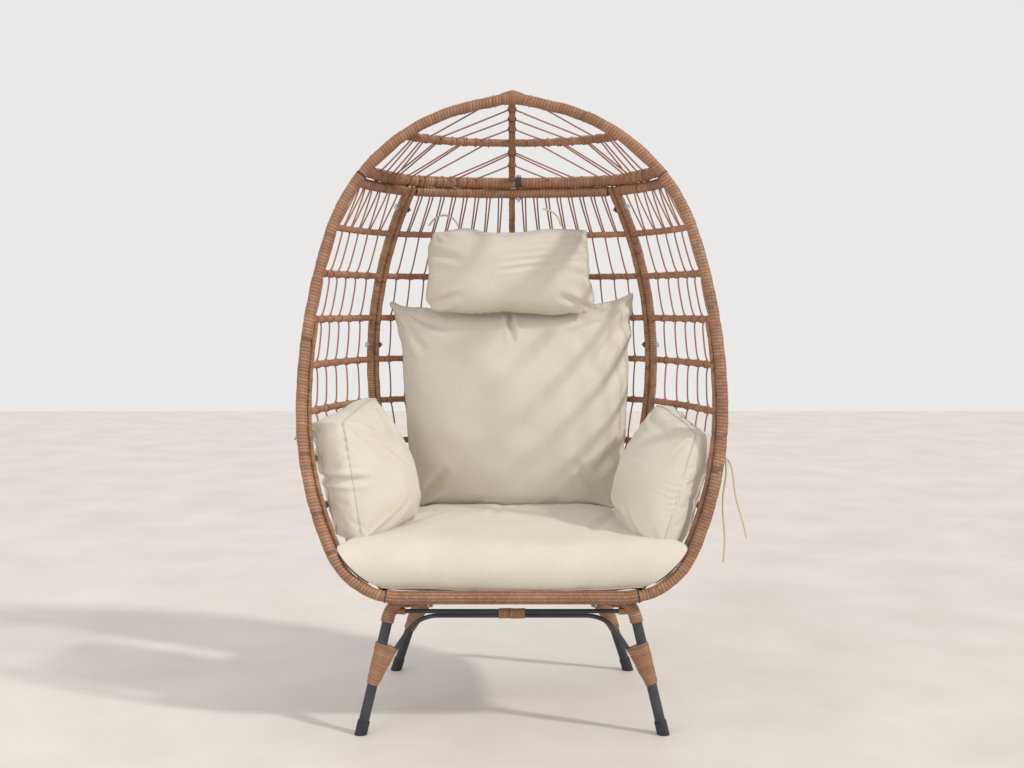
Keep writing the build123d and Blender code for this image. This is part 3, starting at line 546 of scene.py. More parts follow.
CORNER_ARC, LOWER_ARC, SIDE_ARC, TOP_ARC = EGG_ARCS
RIM_LINE = joined(
    egg_line(CORNER_ARC, RIM_R, LOWER_JOINT + gap_angle(CORNER_R), CORNER_END),
    egg_line(LOWER_ARC, RIM_R, CORNER_END, 0),
    egg_line(SIDE_ARC, RIM_R, 0, SIDE_END),
    egg_line(TOP_ARC, RIM_R, SIDE_END, UPPER_JOINT - gap_angle(TOP_R)),
)
both_sides(
    lambda pile, m: wind(pile, RIM_LINE * m, RIM_R, RIM_TURN, sides=24, depth=0.0012), "rim_wrap", WRAP_MAT, "rim",
)


def inner_rim(pile, factor):
    """Thin wound tube just inside a rim."""
    first, last, head_z = INNER_RIM_SPAN
    line = joined(
        egg_line(CORNER_ARC, INNER_RIM_INSET, first, CORNER_END),
        egg_line(LOWER_ARC, INNER_RIM_INSET, CORNER_END, 0),
        egg_line(SIDE_ARC, INNER_RIM_INSET, 0, last),
    )
    foot_z = SEAT_Z + SEAT_TUBE_R
    foot, head = INNER_RIM_BACK
    line[:, 1] += foot + (line[:, 2] - foot_z) * (head - foot) / (head_z - foot_z)
    wind(pile, line * factor, INNER_RIM_R, 0.0062, sides=14, depth=0.0008)


both_sides(inner_rim, "inner_rim_wrap", WRAP_MAT, "inner_rim")


def post(side):
    """Makes a wound post: side -1 is the side panel's, 1 the back panel's."""
    line = POST_LINE + PAIR * PAIR_HALF * side
    line = line[(line[:, 2] > SEAT_Z + SEAT_TUBE_R) & (line[:, 2] < POST_TOP_Z)]
    return lambda pile, m: wind(pile, line * m, POST_R, 0.0066, sides=16, depth=0.0009)


both_sides(post(-1), "side_post_wrap", WRAP_MAT, "side_post")
both_sides(post(1), "back_post_wrap", WRAP_MAT, "back_post")
both_sides(
    lambda pile, m: wind(pile, trimmed(side_line(TOP_BEAM_Z, 0.025), RIM_R * 0.7, POST_R) * m, TOP_BEAM_R, BEAM_TURN,
                         sides=16, depth=0.0008),
    "top_beam_wrap", WRAP_MAT, "top_beam",
)


def side_rails(pile, factor):
    """The side panel's rails, with a thicker lap of winding where each meets the rim."""
    for z in RAIL_HEIGHTS:
        line = trimmed(side_line(z), RIM_R * 0.7, POST_R * 0.8)
        wind(pile, line * factor, lambda t: RAIL_R + 0.0022 * np.exp(-(t / 0.035) ** 2), RAIL_TURN,
             sides=12, depth=0.0010, per_band=5)


both_sides(side_rails, "rails_wrap", RAIL_MAT, "rails")

back = Pile()
for z in RAIL_HEIGHTS:
    wind(back, trimmed(back_line(z), POST_R * 0.8, POST_R * 0.8), RAIL_R, RAIL_TURN, sides=12, depth=0.0010,
         per_band=5)
back.mesh("back_rails_wrap", RAIL_MAT, "wrap_rattan", ["back_rails"])

wound("back_top_beam", WRAP_MAT, trimmed(back_line(TOP_BEAM_Z), POST_R, POST_R), TOP_BEAM_R, BEAM_TURN, sides=16,
      depth=0.0008)
rib_line = BACK_LINE[(BACK_LINE[:, 2] > SEAT_Z + SEAT_TUBE_R) & (BACK_LINE[:, 2] < TOP_BEAM_Z - TOP_BEAM_R * 0.7)]
wound("back_rib", RAIL_MAT, rib_line, RIB_R + 0.0006, RIB_TURN, sides=14, depth=0.0009)

# the crown: its arch with a pointed top, the lump over the point, ring beam, rib and rail
arch = egg_line(TOP_ARC, RIM_R, UPPER_JOINT + gap_angle(TOP_R), PEAK_FROM)
rise = arch[-1, 0] / tan(radians(PEAK_FROM))
PEAK = np.array((0, arch[-1, 1] + rise * sin(LEAN), arch[-1, 2] + rise * cos(LEAN)))
slope = np.linspace(0, 1, 30)[:, None]
half = joined(arch, arch[-1] + (PEAK - arch[-1]) * slope)
wound("crown_rim", WRAP_MAT, joined(half, (half * MIRROR)[::-1]), RIM_R, RIM_TURN, sides=24, depth=0.0012)
tip_end = PEAK + unit(half[-8] - PEAK) * 0.024
wound("crown_tip", WRAP_MAT, np.array([tip_end, PEAK + np.array((0, 0, 0.0006)), tip_end * MIRROR]),
      lambda t: RIM_R + 0.0004 + 0.0030 * np.cos((t - 0.5) * pi) ** 0.7, 0.0060, sides=24, depth=0.0012)

corner = at_height(POST_LINE, POST_TOP_Z)
corner[2] = RING_BEAM_Z
centre = np.array((0, BACK_LINE[-1, 1], RING_BEAM_Z))
front = egg_point(RING_BEAM_Z)
RING_HALF = rounded(
    [front, (front[0] - 0.008, -0.040, RING_BEAM_Z), (corner[0] + 0.022, corner[1] - 0.004, RING_BEAM_Z),
     (0.110, centre[1], RING_BEAM_Z), centre],
    [0.260, 0.095, 0.330],
)
ring_line = joined(RING_HALF, (RING_HALF * MIRROR)[::-1])
wound("crown_ring_beam", WRAP_MAT, trimmed(ring_line, RIM_R * 0.7, RIM_R * 0.7), RING_BEAM_R, 0.0088, sides=18,
      depth=0.0008)

RIB_LINE = arc3(PEAK, CROWN_RIB_MID, centre)
end = egg_point(CROWN_RAIL_Z)
RAIL_LINE = arc3(end * MIRROR, CROWN_RIB_MID, end)
wound("crown_rib", WRAP_MAT, trimmed(RIB_LINE, RIM_R, RING_BEAM_R * 0.8), CROWN_RIB_R, RIB_TURN, sides=14,
      depth=0.0009)
wound("crown_rail", WRAP_MAT, trimmed(RAIL_LINE, RIM_R * 0.8, RIM_R * 0.8), CROWN_RAIL_R, RIB_TURN, sides=14,
      depth=0.0010)

# the woven front beam
beam = Pile()
corner_line = egg_line(CORNER_ARC, BEAM_R, LOWER_JOINT - gap_angle(CORNER_R), -90)
weave(beam, joined(corner_line, (corner_line * MIRROR)[::-1]), BEAM_R)
beam.mesh("front_beam_weave", WRAP_MAT, "wrap_rattan", ["front_beam"])


# ---- strands ---------------------------------------------------------------------------
def knot(pile, at, way, radius, tone):
    """One turn of strand round a rail."""
    way = unit(way)
    side = unit(np.cross(way, (0, 0, 1.0)))
    up = np.cross(side, way)
    turn = np.linspace(0, 2 * pi, 17)[:, None]
    line = at + (radius + 0.0007) * (np.cos(turn) * side + np.sin(turn) * up) + way * 0.0016 * (turn / pi - 1)
    cordlet(pile, line, STRAND_R * 0.95, sides=6, tone=tone, step=0.0042)


def strand(pile, crossings, outward, tone):
    """A strand past several bars: each crossing is a point, the bar's direction and its radius."""
    points = []
    for index, (at, way, radius) in enumerate(crossings):
        out = unit(outward(at)) * (radius + STRAND_R * 0.6)
        ends = index in (0, len(crossings) - 1)
        if index:
            back_way = unit(crossings[index - 1][0] - at)
            points.append(at + back_way * (radius + 0.011) + out * 0.12)
        points.append(at + out * (0.5 if ends else 1.0))
        if index < len(crossings) - 1:
            on_way = unit(crossings[index + 1][0] - at)
            points.append(at + on_way * (radius + 0.011) + out * 0.12)
        if not ends:
            knot(pile, at, way, radius, tone)
    cordlet(pile, smooth_through(points, 0.005), STRAND_R * 1.08, sides=7, tone=tone, step=0.006)


def crossing(line, fraction, radius):
    """A strand's crossing of a bar at a fraction of the bar's line."""
    at = point_at(line, fraction)
    return at, point_at(line, min(fraction + 0.01, 1)) - point_at(line, max(fraction - 0.01, 0)), radius


def wall_out(at):
    """Horizontal direction out of the egg at a point of its wall."""
    return np.array((at[0], at[1] + 0.12, 0))


def seat_frame_line():
    """Right half of the seat ring's centre line, from the rim to the back."""
    at, heading, pieces = np.array((0.300, -0.310)), 90.0, []
    for turn, radius in ((13.0, 1.9), (57.0, 0.075), (20.0, 0.596)):
        angles = np.radians(np.linspace(heading, heading + turn, 30))
        arc = at + radius * np.stack([np.sin(angles) - np.sin(angles[0]), np.cos(angles[0]) - np.cos(angles)], axis=1)
        pieces.append(np.column_stack([arc, np.full(len(arc), SEAT_Z)]))
        at, heading = arc[-1], heading + turn
    return pieces


SEAT_SIDE, _, SEAT_BACK = seat_frame_line()


def side_strands(pile, factor):
    """Strands of a side panel, in pairs that part in its top bay."""
    lines = [side_line(TOP_BEAM_Z, 0.025)] + [side_line(z) for z in RAIL_HEIGHTS] + [SEAT_SIDE]
    radii = [TOP_BEAM_R] + [RAIL_R] * RAIL_COUNT + [SEAT_TUBE_R]
    for i in range(SIDE_STRANDS):
        fraction = (i + 1) / (SIDE_STRANDS + 1)
        marks = [crossing(line, fraction, r) for line, r in zip(lines, radii)]
        tone = 0.35 + 0.5 * rng.random()
        fixed = [(a * factor, b * factor, r) for a, b, r in marks]
        for way in (-1, 1):
            top = crossing(lines[0], fraction + way * STRAND_SPLAY / (SIDE_STRANDS + 1), TOP_BEAM_R)
            foot = crossing(lines[1], fraction + way * PAIR_FOOT / lengths(lines[1])[-1], RAIL_R)
            pair = [(at * factor, along * factor, r) for at, along, r in (top, foot)]
            strand(pile, pair, wall_out, tone)
        strand(pile, fixed[1:], wall_out, tone)


for side, factor in (("right", np.ones(3)), ("left", MIRROR)):
    pile = Pile()
    side_strands(pile, factor)
    pile.mesh(f"{side}_strand_net", STRAND_MAT, "strand", [f"{side}_strands"])

pile = Pile()
lines = [back_line(TOP_BEAM_Z)] + [back_line(z) for z in RAIL_HEIGHTS]
radii = [TOP_BEAM_R] + [RAIL_R] * RAIL_COUNT
columns = 2 * BACK_STRANDS + 2
for i in range(1, columns):
    if i == BACK_STRANDS + 1:
        continue
    fraction = i / columns
    marks = [crossing(line, fraction, r) for line, r in zip(lines, radii)]
    reach = abs(2 * fraction - 1)
    foot = point_at(SEAT_BACK[::-1], reach) * (1 if fraction > 0.5 else -1, 1, 1)
    marks.append((foot, np.array((1.0, 0, 0)), SEAT_TUBE_R))
    tone = 0.35 + 0.5 * rng.random()
    strand(pile, marks[1:], wall_out, tone)
    for way in (-1, 1):
        foot = crossing(lines[1], fraction + way * PAIR_FOOT / lengths(lines[1])[-1], RAIL_R)
        strand(pile, [crossing(lines[0], fraction + way * BACK_SPLAY / columns, TOP_BEAM_R), foot], wall_out, tone)
pile.mesh("back_strand_net", STRAND_MAT, "strand", ["back_strands"])

pile = Pile()


def crown_strand(start, start_way, start_r, end, end_way, end_r):
    """A crown strand and its mirror twin, doubled as it is wound there and back."""
    tone = 0.35 + 0.5 * rng.random()
    for factor in (np.ones(3), MIRROR):
        marks = [(start * factor, start_way * factor, start_r), (end * factor, end_way * factor, end_r)]
        strand(pile, marks, lambda at: np.array((0, 0.3, 1.0)), tone)
        knot(pile, marks[0][0], marks[0][1], start_r, tone)
        knot(pile, marks[1][0], marks[1][1], end_r, tone)


def on_rail(fraction):
    """A crossing of the crown's middle rail, by distance from its middle."""
    return crossing(RAIL_LINE, 0.5 + fraction / 2, CROWN_RAIL_R)


def on_ring(fraction):
    """A crossing of the crown's ring beam, by distance from its middle."""
    return crossing(RING_HALF, 1 - fraction, RING_BEAM_R)


crown_strand(PEAK + (arch[-1] - PEAK) * 0.43, arch[-1] - PEAK, RIM_R, *on_rail(0.69))
for along_rib, along_rail in ((0.145, 0.60), (0.265, 0.455), (0.383, 0.265)):
    crown_strand(*crossing(RIB_LINE, along_rib, CROWN_RIB_R), *on_rail(along_rail))
for along_rail, along_ring in ((0.92, 0.90), (0.84, 0.76), (0.81, 0.70), (0.73, 0.64), (0.70, 0.59), (0.575, 0.615),
                               (0.555, 0.575), (0.36, 0.52), (0.34, 0.49), (0.167, 0.43)):
    crown_strand(*on_rail(along_rail), *on_ring(along_ring))
for along_rib, along_ring in ((0.648, 0.32), (0.672, 0.28), (0.80, 0.20)):
    crown_strand(*crossing(RIB_LINE, along_rib, CROWN_RIB_R), *on_ring(along_ring))
pile.mesh("crown_strand_net", STRAND_MAT, "strand", ["crown_strands"])


# ---- wraps on the stand ----------------------------------------------------------------
def leg_at(leg_frame, z):
    """Centre of a frame's right leg at height z."""
    foot_x, foot_y, corner_x, corner_y = leg_frame[:4]
    t = z / CROSSBAR_Z
    return np.array((foot_x + (corner_x - foot_x) * t, foot_y + (corner_y - foot_y) * t, z))


def stand_wraps(name, leg_frame):
    """Wound corners, knees and middle of one leg frame."""
    path = rounded([leg_at(leg_frame, 0.2), leg_at(leg_frame, CROSSBAR_Z), (leg_frame[4], leg_frame[5], CROSSBAR_Z)],
                   [LEG_BEND_R])
    path = resampled(path, 0.002)
    path = path[(path[:, 2] > 0.256) & (path[:, 0] > leg_frame[2] - 0.046)]
    corners, knees, middle = Pile(), Pile(), Pile()
    low, high = KNEE_Z
    for factor in (np.ones(3), MIRROR):
        wind(corners, path * factor, LEG_R + WRAP, 0.0060, sides=20, depth=0.0011)
        rod_end = leg_at(leg_frame, STRETCHER_Z)
        rod = np.array([rod_end - (0.006, 0, 0), rod_end - (0.036, 0, 0)])
        wind(corners, rod * factor, ROD_R + WRAP * 0.8, 0.0060, sides=14, depth=0.0009)
        spine, half_widths = [], (0.0145, 0.0270)
        for z, half_width in zip((low, high), half_widths):
            spine.append(leg_at(leg_frame, z) - (half_width - LEG_R - WRAP, 0, 0))
        wind(knees, np.array(spine) * factor, lambda t: half_widths[0] + (half_widths[1] - half_widths[0]) * t,
             0.0057, sides=28, depth=0.0011, flat=lambda t: 1 - 0.43 * t, side_way=(1, 0, 0))
    z = (STRETCHER_Z + BRACE_Z) / 2
    at = leg_at(leg_frame, z) * (0, 1, 1)
    wind(middle, np.array([at - (0.030, 0, 0), at + (0.030, 0, 0)]), 0.0121, 0.0055, sides=20, depth=0.0010,
         flat=lambda t: 0.60 + 0 * t, side_way=(0, 0, 1))
    for pile, part, node in ((corners, "corner", "corner_wraps"), (knees, "knee", "knee_wraps"),
                             (middle, "centre", "centre_wrap")):
        pile.mesh(f"{name}_{part}_winding", WRAP_MAT, "wrap_rattan", [f"{name}_{node}"])


stand_wraps("front", FRONT)
stand_wraps("rear", REAR)

# ---- CAD nodes that stay, with better materials ----------------------------------------
KEPT = {
    STEEL_MAT: ("front_leg_frame", "rear_leg_frame", "front_stretcher", "rear_stretcher", "front_arch_brace",
                "rear_arch_brace", "seat_ring", "seat_bars", "crown_clip", "upper_joint_plates",
                "lower_joint_plates"),
    ZINC_MAT: ("panel_bolts", "panel_nuts", "stand_bolts"),
    RUBBER_MAT: tuple(f"{a}_{b}_foot_cap" for a in ("front", "rear") for b in ("left", "right")),
    STRAP_MAT: ("seat_straps",),
}
for material, names in KEPT.items():
    for name in names:
        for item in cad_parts[name].material_slots:
            item.material = material


# ---- cushions --------------------------------------------------------------------------
SIM_FRAMES = 20


def block(nx, ny, nz):
    """Surface of a cube from -1 to 1 as a grid: points, quads and the index of each grid place."""
    counts, index, points, quads = (nx, ny, nz), {}, [], []

    def vertex(i, j, k):
        if (i, j, k) not in index:
            index[(i, j, k)] = len(points)
            points.append([2 * c / n - 1 for c, n in zip((i, j, k), counts)])
        return index[(i, j, k)]

    for axis in range(3):
        a, b = [n for n in range(3) if n != axis]
        for end in (0, counts[axis]):
            for i in range(counts[a]):
                for j in range(counts[b]):
                    face = []
                    for di, dj in ((0, 0), (1, 0), (1, 1), (0, 1)):
                        place_of = [0, 0, 0]
                        place_of[axis], place_of[a], place_of[b] = end, i + di, j + dj
                        face.append(vertex(*place_of))
                    outward = (end > 0) == (axis != 1)
                    quads.append(face if outward else face[::-1])
    return np.array(points), quads, index


def vertex_values(mesh, key):
    """Vertex positions or normals of a mesh as an array."""
    values = np.empty(len(mesh.vertices) * 3)
    mesh.vertices.foreach_get(key, values)
    return values.reshape(-1, 3)


def inflated(obj, pressure, cap, grow):
    """Cloth simulation of a closed cover under pressure, held within cap of where it began."""
    mesh = obj.data
    start = vertex_values(mesh, "co")
    simulation = obj.modifiers.new("Cloth", "CLOTH")
    settings = simulation.settings
    settings.quality = 5
    settings.mass = 0.25
    settings.tension_stiffness = settings.compression_stiffness = 12
    settings.shear_stiffness = 6
    settings.bending_stiffness = 0.8
    settings.use_pressure = True
    settings.uniform_pressure_force = pressure
    settings.shrink_min = -grow
    settings.effector_weights.gravity = 0
    simulation.point_cache.frame_end = SIM_FRAMES + 2
    for number in range(1, SIM_FRAMES + 1):
        bpy.context.scene.frame_set(number)
    evaluated = obj.evaluated_get(bpy.context.evaluated_depsgraph_get())
    end = vertex_values(evaluated.data, "co")
    obj.modifiers.remove(simulation)
    bpy.context.scene.frame_set(1)
    move = end - start
    far = np.linalg.norm(move, axis=1)
    move *= (cap * np.tanh(far / cap) / np.maximum(far, 1e-9))[:, None]
    mesh.vertices.foreach_set("co", (start + move).reshape(-1))
    mesh.update()


def pushed(obj, amount):
    """Moves each vertex along its normal by amount(points)."""
    points, normals = vertex_values(obj.data, "co"), vertex_values(obj.data, "normal")
    obj.data.vertices.foreach_set("co", (points + normals * amount(points)[:, None]).reshape(-1))
    obj.data.update()


def fold(points, start, end, width, depth, past):
    """A soft crease along a straight line, seen along one axis: a groove with a raised lip beside it."""
    seen = np.arange(3) != past
    at, start, end = points[:, seen], np.array(start)[seen], np.array(end)[seen]
    way = end - start
    t = np.clip((at - start) @ way / np.dot(way, way), 0, 1)
    distance = np.linalg.norm(at - start - t[:, None] * way, axis=1)
    fade = np.sin(pi * np.clip(t * 0.9 + 0.08, 0, 1)) ** 0.6
    return fade * (-depth * np.exp(-(distance / width) ** 2)
                   + 0.55 * depth * np.exp(-((distance - 2.1 * width) / width) ** 2))


def ripples(points, seed, size, height):
    """Slow random swells of the cover."""
    waves = np.random.default_rng(seed)
    total = np.zeros(len(points))
    for _ in range(14):
        way = unit(waves.normal(size=3)) / size * waves.uniform(0.5, 1.6)
        total += np.sin(points @ way * 2 * pi + waves.uniform(0, 2 * pi))
    return height * total / 5


def puckers(cube, at, seed, axis, height, reach, pitch=0.017):
    """Small gathers along the seams of the two faces across an axis, and folds that fan out of the corners."""
    waves = np.random.default_rng(seed)
    others = [k for k in range(3) if k != axis]
    edge = np.max(np.abs(cube[:, others]), axis=1)
    near = np.exp(-np.clip(1 - edge, 0, 1) / reach) * (np.abs(cube[:, axis]) > 0.999)
    along = at[:, 0] * 0.9 + at[:, 1] * 1.1 + at[:, 2]
    gather = np.sin(2 * pi * along / pitch + 2.5 * np.sin(along * 41 + waves.uniform(0, 6)))
    total = height * near * gather * (0.55 + 0.45 * np.sin(along * 29 + waves.uniform(0, 6)))
    for u in (-1, 1):
        for v in (-1, 1):
            du, dv = 1 - u * cube[:, others[0]], 1 - v * cube[:, others[1]]
            turn, far = np.arctan2(dv, du), np.hypot(du, dv)
            fan = np.sin(turn * waves.uniform(9, 13) + waves.uniform(0, 6)) + 0.5 * np.sin(turn * 21 + u + v)
            total += height * 1.7 * fan * np.exp(-((far - 0.16) / 0.20) ** 2) * np.sin(np.clip(turn, 0, pi / 2) * 2)
    return total


def cushion(name, node, counts, shape, cap, creases=(), pressure=4.0, grow=0.02, swell=0.0016, size=0.11,
            gather=0.0014, reach=0.08, seam_axis=1, seam_levels=(0, 1)):
    """A sewn cushion: shape maps the cube to its cover, creases push into it after the simulation."""
    points, quads, index = block(*counts)
    mesh = bpy.data.meshes.new(name)
    mesh.from_pydata(shape(points).tolist(), [], quads)
    piece = finish_piece(mesh, name, COVER_MAT, [node])
    inflated(piece, pressure, cap, grow)
    seed = sum(map(ord, name))
    pushed(piece, lambda at: ripples(at, seed, size, swell) + puckers(points, at, seed, seam_axis, gather, reach)
           + sum((fold(at, *crease) for crease in creases), np.zeros(len(at))))
    sewn = Pile()
    at = vertex_values(mesh, "co")
    for level in seam_levels:
        a, b = [k for k in range(3) if k != seam_axis]
        loop = [(i, 0) for i in range(counts[a])] + [(counts[a], j) for j in range(counts[b])]
        loop += [(i, counts[b]) for i in range(counts[a], 0, -1)] + [(0, j) for j in range(counts[b], 0, -1)]
        keys = []
        for i, j in loop:
            key = [0, 0, 0]
            key[seam_axis], key[a], key[b] = level * counts[seam_axis], i, j
            keys.append(index[tuple(key)])
        cordlet(sewn, at[keys + keys[:1]], 0.0017, sides=6, tone=0.5, step=0.005)
    smoother = piece.modifiers.new("Smooth", "SUBSURF")
    smoother.levels = smoother.render_levels = 1
    sewn.mesh(name + "_seam", SEAM_MAT, "cushion_cover", [])
    return piece


def blended(sides, u, v):
    """Point of the patch inside four border lines: bottom, right, top and left, each from its low end."""
    t = np.linspace(0, 1, 65)
    bottom, right, top, left = (
        (lambda k, line=smooth_through(side): np.stack(
            [np.interp(k, t, np.array([point_at(line, f)[c] for f in t])) for c in range(3)], 1)) for side in sides)
    a, b = ((u + 1) / 2)[:, None], ((v + 1) / 2)[:, None]
    ends = [np.array(p, float) for p in (sides[0][0], sides[0][-1], sides[2][0], sides[2][-1])]
    across = (1 - b) * bottom(a[:, 0]) + b * top(a[:, 0]) + (1 - a) * left(b[:, 0]) + a * right(b[:, 0])
    return across - ((1 - a) * (1 - b) * ends[0] + a * (1 - b) * ends[1] + (1 - a) * b * ends[2] + a * b * ends[3])


def two_panels(sides, front, back, lean=0.0, fullness=2.2, edge=0.55):
    """Pillow of two panels sewn along an outline of (x, z) points, with the depth of its front and its back."""
    sides = [[(x, 0, z) for x, z in side] for side in sides]
    centre_z = np.mean([point[2] for side in sides for point in side])

    def shape(p):
        u, w, v = p[:, 0], p[:, 1], p[:, 2]
        out = blended(sides, u, v)
        crown = ((1 - np.abs(u) ** fullness) * (1 - np.abs(v) ** fullness)) ** edge
        depth = np.where(w < 0, -front, back) * np.abs(w)
        out[:, 1] = w * 0.0015 + depth * crown + (out[:, 2] - centre_z) * lean
        return out
    return shape


def shifted(shape, *by):
    """A shape moved by x, y, z."""
    return lambda p: shape(p) + np.array(by)


def boxed(corners, bulges):
    """Cover between eight corners, keyed by x, y and z signs; bulges are (axis, sign, vector, power)."""
    def shape(p):
        out = np.zeros_like(p)
        soft = p * (1 - 0.03 * (np.roll(p, 1, 1) ** 4 + np.roll(p, 2, 1) ** 4))
        for signs, corner in corners.items():
            weight = np.ones(len(p))
            for axis, sign in enumerate(signs):
                weight = weight * (1 + sign * soft[:, axis]) / 2
            out += weight[:, None] * np.array(corner)
        for axis, sign, vector, power in bulges:
            others = [k for k in range(3) if k != axis]
            swell = np.prod([np.clip(1 - p[:, k] ** 2, 0, 1) ** power for k in others], axis=0)
            out += (swell * (1 + sign * p[:, axis]) / 2)[:, None] * np.array(vector)
        return out
    return shape


def seat_shape(p):
    """D-shaped seat cushion that follows the egg's walls, wider at its top, which rises to the back."""
    u, v, w = p[:, 0], p[:, 1], p[:, 2]
    out = np.empty_like(p)
    for level in np.unique(w):
        rows = w == level
        rise = (level + 1) / 2
        z = 0.345 + 0.096 * rise
        inset = 0.013 + 0.007 * (2 * rise - 1) ** 16 + 0.016 * (1 - rise)
        side = side_line(z, 0.008)
        front, rear = side[0] - (inset, 0, 0), side[-1] - (inset, 0.010, 0)
        front[1] = BEAM_Y + 0.006 + 0.012 * rise**4 - 0.016 * sin(pi * rise) ** 0.7
        middle = point_at(side, 0.55) - (inset, 0, 0)
        behind = (0, at_height(BACK_LINE, z)[1] - inset, z)
        borders = (
            [front * MIRROR, (0, front[1] - 0.012, z), front], arc3(front, middle, rear, 12),
            arc3(rear * MIRROR, behind, rear, 12), arc3(front * MIRROR, middle * MIRROR, rear * MIRROR, 12),
        )
        s, t = u[rows], (v[rows] + 1) / 2
        patch = blended([list(map(tuple, line)) for line in borders], s, v[rows])
        crown = (1 - s**4) * np.clip(1 - (1 - t) ** 6, 0, 1)
        patch[:, 2] = (z - rise * 0.012 * (1 - s**2) + rise * crown * (0.016 + 0.018 * t)
                       - (1 - rise) * 0.010 * (1 - s**2))
        out[rows] = patch
    return out


cushion("seat_cushion_cover", "seat_cushion", (110, 78, 14), seat_shape, 0.010, pressure=3.0, grow=0.01,
        swell=0.0016, size=0.13, gather=0.0, seam_axis=2, seam_levels=(0,),
        creases=[((-0.20, 0.06, 0), (0.02, 0.10, 0), 0.010, 0.005, 2),
                 ((0.02, 0.03, 0), (0.24, 0.09, 0), 0.012, 0.005, 2),
                 ((-0.05, -0.05, 0), (-0.02, 0.12, 0), 0.011, 0.004, 2),
                 ((0.19, -0.20, 0), (0.27, 0.02, 0), 0.014, 0.004, 2),
                 ((-0.28, -0.16, 0), (-0.16, 0.04, 0), 0.013, 0.004, 2)])

BACK_SIDES = (
    [(-0.260, 0.452), (-0.13, 0.446), (0.0, 0.441), (0.13, 0.443), (0.276, 0.448)],
    [(0.276, 0.448), (0.299, 0.600), (0.311, 0.740), (0.314, 0.880), (0.326, 1.017)],
    [(-0.324, 0.993), (-0.22, 0.980), (0.0, 0.981), (0.20, 0.986), (0.326, 1.017)],
    [(-0.260, 0.452), (-0.276, 0.600), (-0.288, 0.740), (-0.298, 0.880), (-0.324, 0.993)],
)
cushion(
    "back_cushion_cover", "back_cushion", (110, 2, 96),
    shifted(two_panels(BACK_SIDES, 0.092, 0.070, lean=0.09), 0, 0.176, 0), 0.010,
    creases=[((-0.008, 0, 0.975), (0.004, 0, 0.885), 0.0065, 0.012, 1),
             ((-0.30, 0, 0.965), (-0.17, 0, 0.925), 0.010, 0.007, 1),
             ((-0.29, 0, 0.94), (-0.22, 0, 0.86), 0.010, 0.005, 1),
             ((0.30, 0, 0.985), (0.11, 0, 0.915), 0.011, 0.009, 1),
             ((0.305, 0, 0.95), (0.20, 0, 0.82), 0.012, 0.008, 1),
             ((0.30, 0, 0.88), (0.23, 0, 0.74), 0.012, 0.006, 1),
             ((-0.23, 0, 0.485), (-0.17, 0, 0.555), 0.009, 0.006, 1),
             ((0.24, 0, 0.485), (0.16, 0, 0.580), 0.010, 0.007, 1),
             ((0.28, 0, 0.62), (0.21, 0, 0.55), 0.011, 0.005, 1)],
    pressure=2.0, grow=0.0, seam_levels=(0.5,), gather=0.0024, reach=0.06,
)

HEAD_SIDES = (
    [(-0.206, 0.970), (-0.10, 0.957), (0.0, 0.959), (0.10, 0.955), (0.196, 0.963)],
    [(0.196, 0.963), (0.214, 0.998), (0.204, 1.060), (0.201, 1.120), (0.194, 1.175)],
    [(-0.204, 1.168), (-0.12, 1.182), (-0.02, 1.174), (0.10, 1.182), (0.194, 1.175)],
    [(-0.206, 0.970), (-0.220, 1.000), (-0.218, 1.060), (-0.220, 1.120), (-0.204, 1.168)],
)
cushion(
    "head_pillow_cover", "head_pillow", (84, 2, 48),
    shifted(two_panels(HEAD_SIDES, 0.064, 0.045, lean=0.11, fullness=2.6), 0, 0.146, 0), 0.008,
    creases=[((0.185, 0, 1.162 - 0.016 * i), (0.01 - 0.012 * i, 0, 1.150 - 0.020 * i), 0.0050, 0.0042, 1)
             for i in range(5)]
    + [((-0.205, 0, 0.985), (-0.13, 0, 1.010), 0.008, 0.008, 1),
       ((0.195, 0, 0.975), (0.12, 0, 1.006), 0.008, 0.008, 1),
       ((-0.21, 0, 1.115), (-0.13, 0, 1.100), 0.009, 0.006, 1),
       ((0.20, 0, 1.05), (0.15, 0, 1.07), 0.008, 0.005, 1)],
    pressure=2.0, grow=0.0, seam_levels=(0.5,), gather=0.0024,
)

LEFT_CORNERS = {
    (-1, -1, 1): (-0.474, -0.212, 0.710), (-1, -1, -1): (-0.412, -0.232, 0.444),
    (-1, 1, 1): (-0.425, 0.075, 0.735), (-1, 1, -1): (-0.340, 0.062, 0.455),
    (1, -1, 1): (-0.392, -0.246, 0.718), (1, -1, -1): (-0.344, -0.272, 0.432),
    (1, 1, 1): (-0.348, 0.082, 0.754), (1, 1, -1): (-0.226, 0.010, 0.450),
}
LEFT_BULGES = ((0, 1, (0.082, -0.052, -0.004), 0.75), (0, -1, (-0.016, 0, 0), 0.8), (1, -1, (0.0, -0.014, 0), 0.8),
               (2, 1, (0, 0, -0.010), 0.6), (2, -1, (0, 0, 0.004), 0.6), (1, 1, (0.02, 0.030, 0), 0.6))
RIGHT_CORNERS = {
    (1, -1, 1): (0.472, -0.212, 0.682), (1, -1, -1): (0.400, -0.256, 0.430),
    (1, 1, 1): (0.432, 0.070, 0.716), (1, 1, -1): (0.340, 0.062, 0.455),
    (-1, -1, 1): (0.430, -0.244, 0.690), (-1, -1, -1): (0.338, -0.296, 0.406),
    (-1, 1, 1): (0.370, 0.078, 0.738), (-1, 1, -1): (0.256, 0.030, 0.456),
}
RIGHT_BULGES = ((0, -1, (-0.080, -0.058, 0.000), 0.62), (0, 1, (0.016, 0, 0), 0.8), (1, -1, (0.004, -0.018, 0), 0.7),
                (2, 1, (0, 0, -0.004), 0.6), (2, -1, (0, 0, 0.004), 0.6), (1, 1, (-0.02, 0.030, 0), 0.6))
